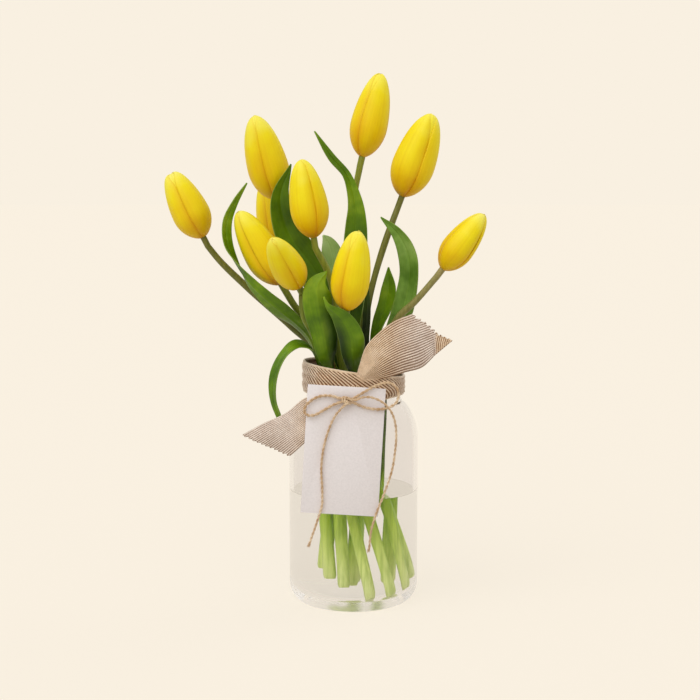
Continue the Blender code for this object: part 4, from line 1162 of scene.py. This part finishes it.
# %% Ribbon measures
RIBBON_TOP_MIDDLE = 177.6
RIBBON_TOP_RISE = 4.6
RIBBON_TOP_FALL = 6.2
RIBBON_FOOT_MIDDLE = 159.2
RIBBON_FOOT_TILT = 1.0
BACK_DIP = 8.0
CARD_DIP = 10.0
CARD_DIP_SPREAD = math.radians(26)
RIBBON_SLACK = 0.5
BAND_THICKNESS = 1.4
NECK_ROUNDING = 1.3
NECK_ROUNDING_TALL = 3.0
CORD_RADIUS = 0.52
HEM_RADIUS = 0.9
CORDS_ON_TAIL = 22
BAND_CORDS = 66
BAND_DROP = 150.0
BAND_DROP_BEND = 450.0
BAND_BULGE = 6.0
BULGE_TURN = math.radians(-62)
BULGE_SPREAD = math.radians(34)
FRONT_FOLD = 0.3
BACK_FOLD = 1.6
FOLD_WAVES = 3.4
ZIGZAG_DEPTH = 2.4
ZIGZAG_PITCH = 3.4
RIGHT_TAIL_UPPER = [(0, -39.5, 168), (4.5, -42, 185), (8.9, -43.5, 197.5), (17.5, -41, 206.9),
                    (29.1, -40, 215.5), (43.3, -38, 220.8)]
RIGHT_TAIL_LOWER = [(8, -39, 164), (15.4, -40, 172), (29.2, -41, 176.5), (37.1, -41, 178.9),
                    (49.4, -39, 182.4), (57.6, -38.5, 189.6)]
CORNER_INNER = [(56.8, -36.2, 189.0), (57.0, -36.2, 198), (58.8, -35.8, 208)]
CORNER_OUTER = [(69.6, -35.4, 199.8), (71.6, -35, 201.2)]
LEFT_TAIL_UPPER = [(-6, -44, 165), (-20, -45.5, 164.5), (-34.2, -46, 161), (-49.1, -45, 149.5),
                   (-66.2, -43, 141.1), (-81.6, -41, 132)]
LEFT_TAIL_LOWER = [(-6, -44, 155), (-20, -45.5, 141), (-35.8, -46, 127.8), (-46.7, -45, 117.7)]


def jar_outside(height):
    """The jar's outer radius at heights on its neck or shoulder."""
    rise = np.clip((height - JAR_SHOULDER_Z) / SHOULDER_TALL, 0.0, 0.999)
    round_part = SHOULDER_CENTRE + (JAR_RADIUS - SHOULDER_CENTRE) * np.sqrt(1.0 - rise * rise)
    radius = np.where(height > JAR_NECK_Z - NECK_ROUNDING_TALL, JAR_NECK_RADIUS + NECK_ROUNDING, round_part)
    return np.where(height > JAR_NECK_Z, JAR_BEAD_RADIUS, radius)


print("band height at the front in mm:", round(RIBBON_TOP_MIDDLE - RIBBON_FOOT_MIDDLE))

# %% [markdown]
# The band is a ring whose cross-section is a flattened oval, so its edges look folded. It lies smooth in
# front and is gathered in folds at the back, and its foot hangs lower where the card and the back hide
# it. Each cord enters at the top edge, where it almost follows the hem, and bends down to the foot.

# %% Ribbon band
BAND_STEPS = 144
BAND_RING = 40
HEM_FROM = 0.44
CORD_RISE = 0.15
CORD_SINK = 0.9


def turn_from(turn, middle):
    """How far a turn lies from another one, the short way round."""
    return np.angle(np.exp(1j * (turn - middle)))


def band_edges(turn):
    """The heights of the band's foot and top at a turn round the jar."""
    lean = np.cos(turn)
    top = RIBBON_TOP_MIDDLE - np.where(lean > 0, RIBBON_TOP_FALL, RIBBON_TOP_RISE) * lean
    behind_card = turn_from(turn, -math.pi / 2) / CARD_DIP_SPREAD
    dip = BACK_DIP * np.clip(np.sin(turn), 0, 1) ** 2 + CARD_DIP * np.exp(-(behind_card ** 2))
    foot = RIBBON_FOOT_MIDDLE - RIBBON_FOOT_TILT * lean - dip
    return foot, top


def band_point(turn, share, out):
    """A point on the band: share runs from its foot to its top, and out is the distance off the jar."""
    foot, top = band_edges(turn)
    height = foot + (top - foot) * share
    away = turn_from(turn, BULGE_TURN) / BULGE_SPREAD
    bulge = BAND_BULGE * np.exp(-(away ** 2)) * np.clip(share * 3, 0, 1)
    depth = FRONT_FOLD + BACK_FOLD * np.clip(np.sin(turn), 0, 1)
    fold = depth * (1.0 + np.sin(2 * math.pi * FOLD_WAVES * share + 3 * turn))
    radius = jar_outside(height) + RIBBON_SLACK + out + bulge + fold
    return polar(radius, turn, height)


def band_oval(along, across):
    """The band's outside and inside, rolled up from a grid."""
    rounds = 2 * math.pi * across
    out = BAND_THICKNESS * (0.5 + 0.5 * np.sin(rounds))
    return band_point(2 * math.pi * along, 0.5 + 0.5 * np.cos(rounds), out)


ribbon_shape = new_shape()
bend_grid(ribbon_shape, BAND_STEPS, BAND_RING, band_oval)
weld(ribbon_shape)

cords_shape = new_shape()
for cord in range(BAND_CORDS):
    turns = np.linspace(-1.5 * math.pi, 0.5 * math.pi, 721) + cord * 2 * math.pi / BAND_CORDS
    foot, top = band_edges(turns)
    rounds = (turns - turns[0]) / (2 * math.pi)
    fall = top[0] - BAND_DROP * rounds - BAND_DROP_BEND * rounds ** 2
    shares = (fall - foot) / (top - foot)
    inside = (shares > 0.0) & (shares <= 1.0)
    turns, shares = turns[inside][::4], shares[inside][::4]
    near_hem = np.clip((np.abs(shares - 0.5) - HEM_FROM) / (0.5 - HEM_FROM), 0, 1)
    out = BAND_THICKNESS + CORD_RISE - CORD_SINK * near_hem ** 2
    add_strand(cords_shape, band_point(turns, shares, out), CORD_RADIUS, 6)
turns = np.linspace(0.0, 2 * math.pi, BAND_STEPS + 1)
for share in (0.0, 1.0):
    hem = band_point(turns, np.full_like(turns, share), BAND_THICKNESS / 2)
    add_strand(cords_shape, hem, HEM_RADIUS, 8)
print("cords on the band:", BAND_CORDS)

# %% [markdown]
# A tail is a surface between its two long edges. It bulges towards the viewer in the middle and ripples
# slightly. The same surface carries the sheet and the cords, and the zigzag shortens it here and there
# at its cut end. The right tail's cords bend over to run level, and its lower corner is folded back, so
# the cut runs only down to the fold and a small flap with upright cords sticks out beyond it.

# %% Ribbon tails and knot
TAIL_STEPS = 48
EDGE_POINTS = 101
WEAVE_THICKNESS = 0.5
TAIL_RIPPLE = 0.7
TAIL_CURL_FROM = 0.82
KNOT_CENTRE = Vector((-1.0, -42.5, 160.5))
KNOT_HALF = Vector((13.0, 5.6, 8.0))
KNOT_CORDS = 15
KNOT_REACH = 0.92
KNOT_SLANT = 0.12
CORNER_CORDS = 9
CORD_FILL = 0.92
THINNEST_CORD = 0.25


def tail_surface(upper, lower, bulge, curl, arch=0.0, corner=(0.0, 0.0), uncut=0.0):
    """A tail's surface, as a function of along and across, each from 0 to 1. arch lifts its middle,
    corner pushes the middle of its end to the right and up, and uncut is the share without teeth."""
    above, below = smooth_rows(upper, EDGE_POINTS), smooth_rows(lower, EDGE_POINTS)
    cut = np.linalg.norm(above[-1] - below[-1])
    length = run_along((above + below) / 2)[-1]
    places = np.linspace(0, 1, EDGE_POINTS)

    def surface(along, across):
        teeth = 2 * np.abs((across * cut / ZIGZAG_PITCH) % 1.0 - 0.5) * (0.8 + 0.2 * np.sin(23 * across))
        teeth = np.where(across < uncut, 0.0, teeth)
        along = along * (1 - ZIGZAG_DEPTH / length * teeth)
        foot, top = (np.stack([np.interp(along, places, column) for column in edge.T], axis=-1)
                     for edge in (below, above))
        spot = foot * (1 - across)[:, None] + top * across[:, None]
        swell = bulge * np.sin(math.pi * across) * np.sin(math.pi * np.clip(along, 0, 1))
        push = np.sin(math.pi * across) ** 1.5 * along ** 3
        spot[:, 0] += corner[0] * push
        spot[:, 2] += corner[1] * push + arch * np.sin(math.pi * across) * np.sin(math.pi * along)
        ripple = TAIL_RIPPLE * np.sin(9 * across + 5 * along) * along
        curled = np.clip((along - TAIL_CURL_FROM) / (1 - TAIL_CURL_FROM), 0, 1)
        spot[:, 1] += ripple - swell + curl * curled ** 2
        return spot
    return surface


def add_tail(surface, cords=CORDS_ON_TAIL):
    """Add a tail's weave to the ribbon and its cords to the cords."""
    made = bend_grid(ribbon_shape, TAIL_STEPS, 2 * cords, surface)
    faces = list({face for corner in made for face in corner.link_faces})
    bmesh.ops.solidify(ribbon_shape, geom=faces, thickness=WEAVE_THICKNESS)
    for cord in range(cords):
        across = (cord + 0.5) / cords
        along = np.linspace(0.0, 1.0, TAIL_STEPS + 1)
        line = surface(along, np.full_like(along, across))
        near = surface(along, np.full_like(along, across + 0.5 / cords))
        radii = np.minimum(CORD_FILL * np.linalg.norm(near - line, axis=1), CORD_RADIUS).clip(THINNEST_CORD)
        add_strand(cords_shape, line, radii, 8)


right_tail = tail_surface(RIGHT_TAIL_UPPER, RIGHT_TAIL_LOWER, bulge=5.0, curl=2.0, arch=3.6,
                          corner=(9.0, 2.4), uncut=0.5)
add_tail(right_tail)
add_tail(tail_surface(CORNER_OUTER, CORNER_INNER, bulge=0.0, curl=0.0), CORNER_CORDS)
add_tail(tail_surface(LEFT_TAIL_UPPER, LEFT_TAIL_LOWER, bulge=1.5, curl=2.0))
core = bmesh.ops.create_uvsphere(ribbon_shape, u_segments=24, v_segments=16, radius=1.0)["verts"]
bmesh.ops.scale(ribbon_shape, vec=KNOT_HALF, verts=core)
bmesh.ops.translate(ribbon_shape, vec=KNOT_CENTRE, verts=core)
for cord in range(KNOT_CORDS):
    lean = KNOT_REACH * (2 * cord / (KNOT_CORDS - 1) - 1)
    size = math.sqrt(1 - lean * lean)
    ring = oval_ring(
        np.array(KNOT_CENTRE) + (KNOT_HALF.x * lean, 0.0, 0.0), (0.0, KNOT_HALF.y * size, 0.0),
        (KNOT_HALF.x * KNOT_SLANT, 0.0, KNOT_HALF.z * size), 33,
    )
    add_strand(cords_shape, ring, CORD_RADIUS, 6)

ribbon_cords = make_piece("ribbon_cords", cords_shape, burlap_cord)
ribbon = make_piece("burlap_ribbon", ribbon_shape, burlap_weave, "ribbon")
print("ribbon cords:", BAND_CORDS + 2 * CORDS_ON_TAIL + KNOT_CORDS + CORNER_CORDS)

# %% [markdown]
# ## The card
# The card is thick uncoated stock, cut square, with two punched holes behind the bow. It is left blank.
# A flat outline with two holes in it is filled and given a thickness, which keeps the holes clean, and
# its edges are slightly soft.

# %% Card
CARD_SIZE = (56.0, 93.5)
CARD_THICKNESS = 0.6
CARD_MIDDLE = (-7.6, 122.6)
CARD_TURN = math.radians(3.4)
CARD_HOLE_RADIUS = 1.6
SOFT_EDGE = 0.12

card_finish, tree, shader = new_finish("card_stock", 0.75, 0.25)
pulp = noise(tree, object_place(tree), 900.0, 4.0)
colour = two_tones(tree, pulp, light(233, 227, 228), light(241, 235, 236))
set_skin(tree, shader, colour, pulp, 0.25, 0.1)

half_wide, half_tall = CARD_SIZE[0] / 2 - SOFT_EDGE, CARD_SIZE[1] / 2 - SOFT_EDGE
outlines = [[(-half_wide, -half_tall), (half_wide, -half_tall), (half_wide, half_tall),
             (-half_wide, half_tall)]]
for side in (-1, 1):
    hole = Vector((KNOT_MIDDLE.x + side * CARD_PASS - CARD_MIDDLE[0], KNOT_MIDDLE.z - CARD_MIDDLE[1]))
    hole.rotate(Matrix.Rotation(CARD_TURN, 2))
    outlines.append([hole + (CARD_HOLE_RADIUS + SOFT_EDGE) * Vector((math.cos(a), math.sin(a)))
                     for a in np.linspace(0, 2 * math.pi, 24, endpoint=False)])
sheet_line = bpy.data.curves.new("card outline", "CURVE")
sheet_line.dimensions = "2D"
sheet_line.fill_mode = "BOTH"
sheet_line.extrude = CARD_THICKNESS / 2 - SOFT_EDGE
sheet_line.bevel_depth = SOFT_EDGE
sheet_line.bevel_resolution = 1
for outline in outlines:
    spline = sheet_line.splines.new("POLY")
    spline.points.add(len(outline) - 1)
    spline.use_cyclic_u = True
    for point, (x, y) in zip(spline.points, outline):
        point.co = (x, y, 0.0, 1.0)
drawn = bpy.data.objects.new("card outline", sheet_line)
cut_card = bpy.data.meshes.new_from_object(drawn)
bpy.data.objects.remove(drawn)

shape = new_shape()
shape.from_mesh(cut_card)
weld(shape)
for angle, axis in ((math.pi / 2, "X"), (CARD_TURN, "Y")):
    bmesh.ops.rotate(shape, cent=(0, 0, 0), matrix=Matrix.Rotation(angle, 3, axis), verts=shape.verts)
bmesh.ops.translate(
    shape, vec=(CARD_MIDDLE[0], CARD_BACK_Y - CARD_THICKNESS / 2, CARD_MIDDLE[1]), verts=shape.verts
)
make_piece("hanging_card", shape, card_finish, "card")
print("card size in mm:", CARD_SIZE)
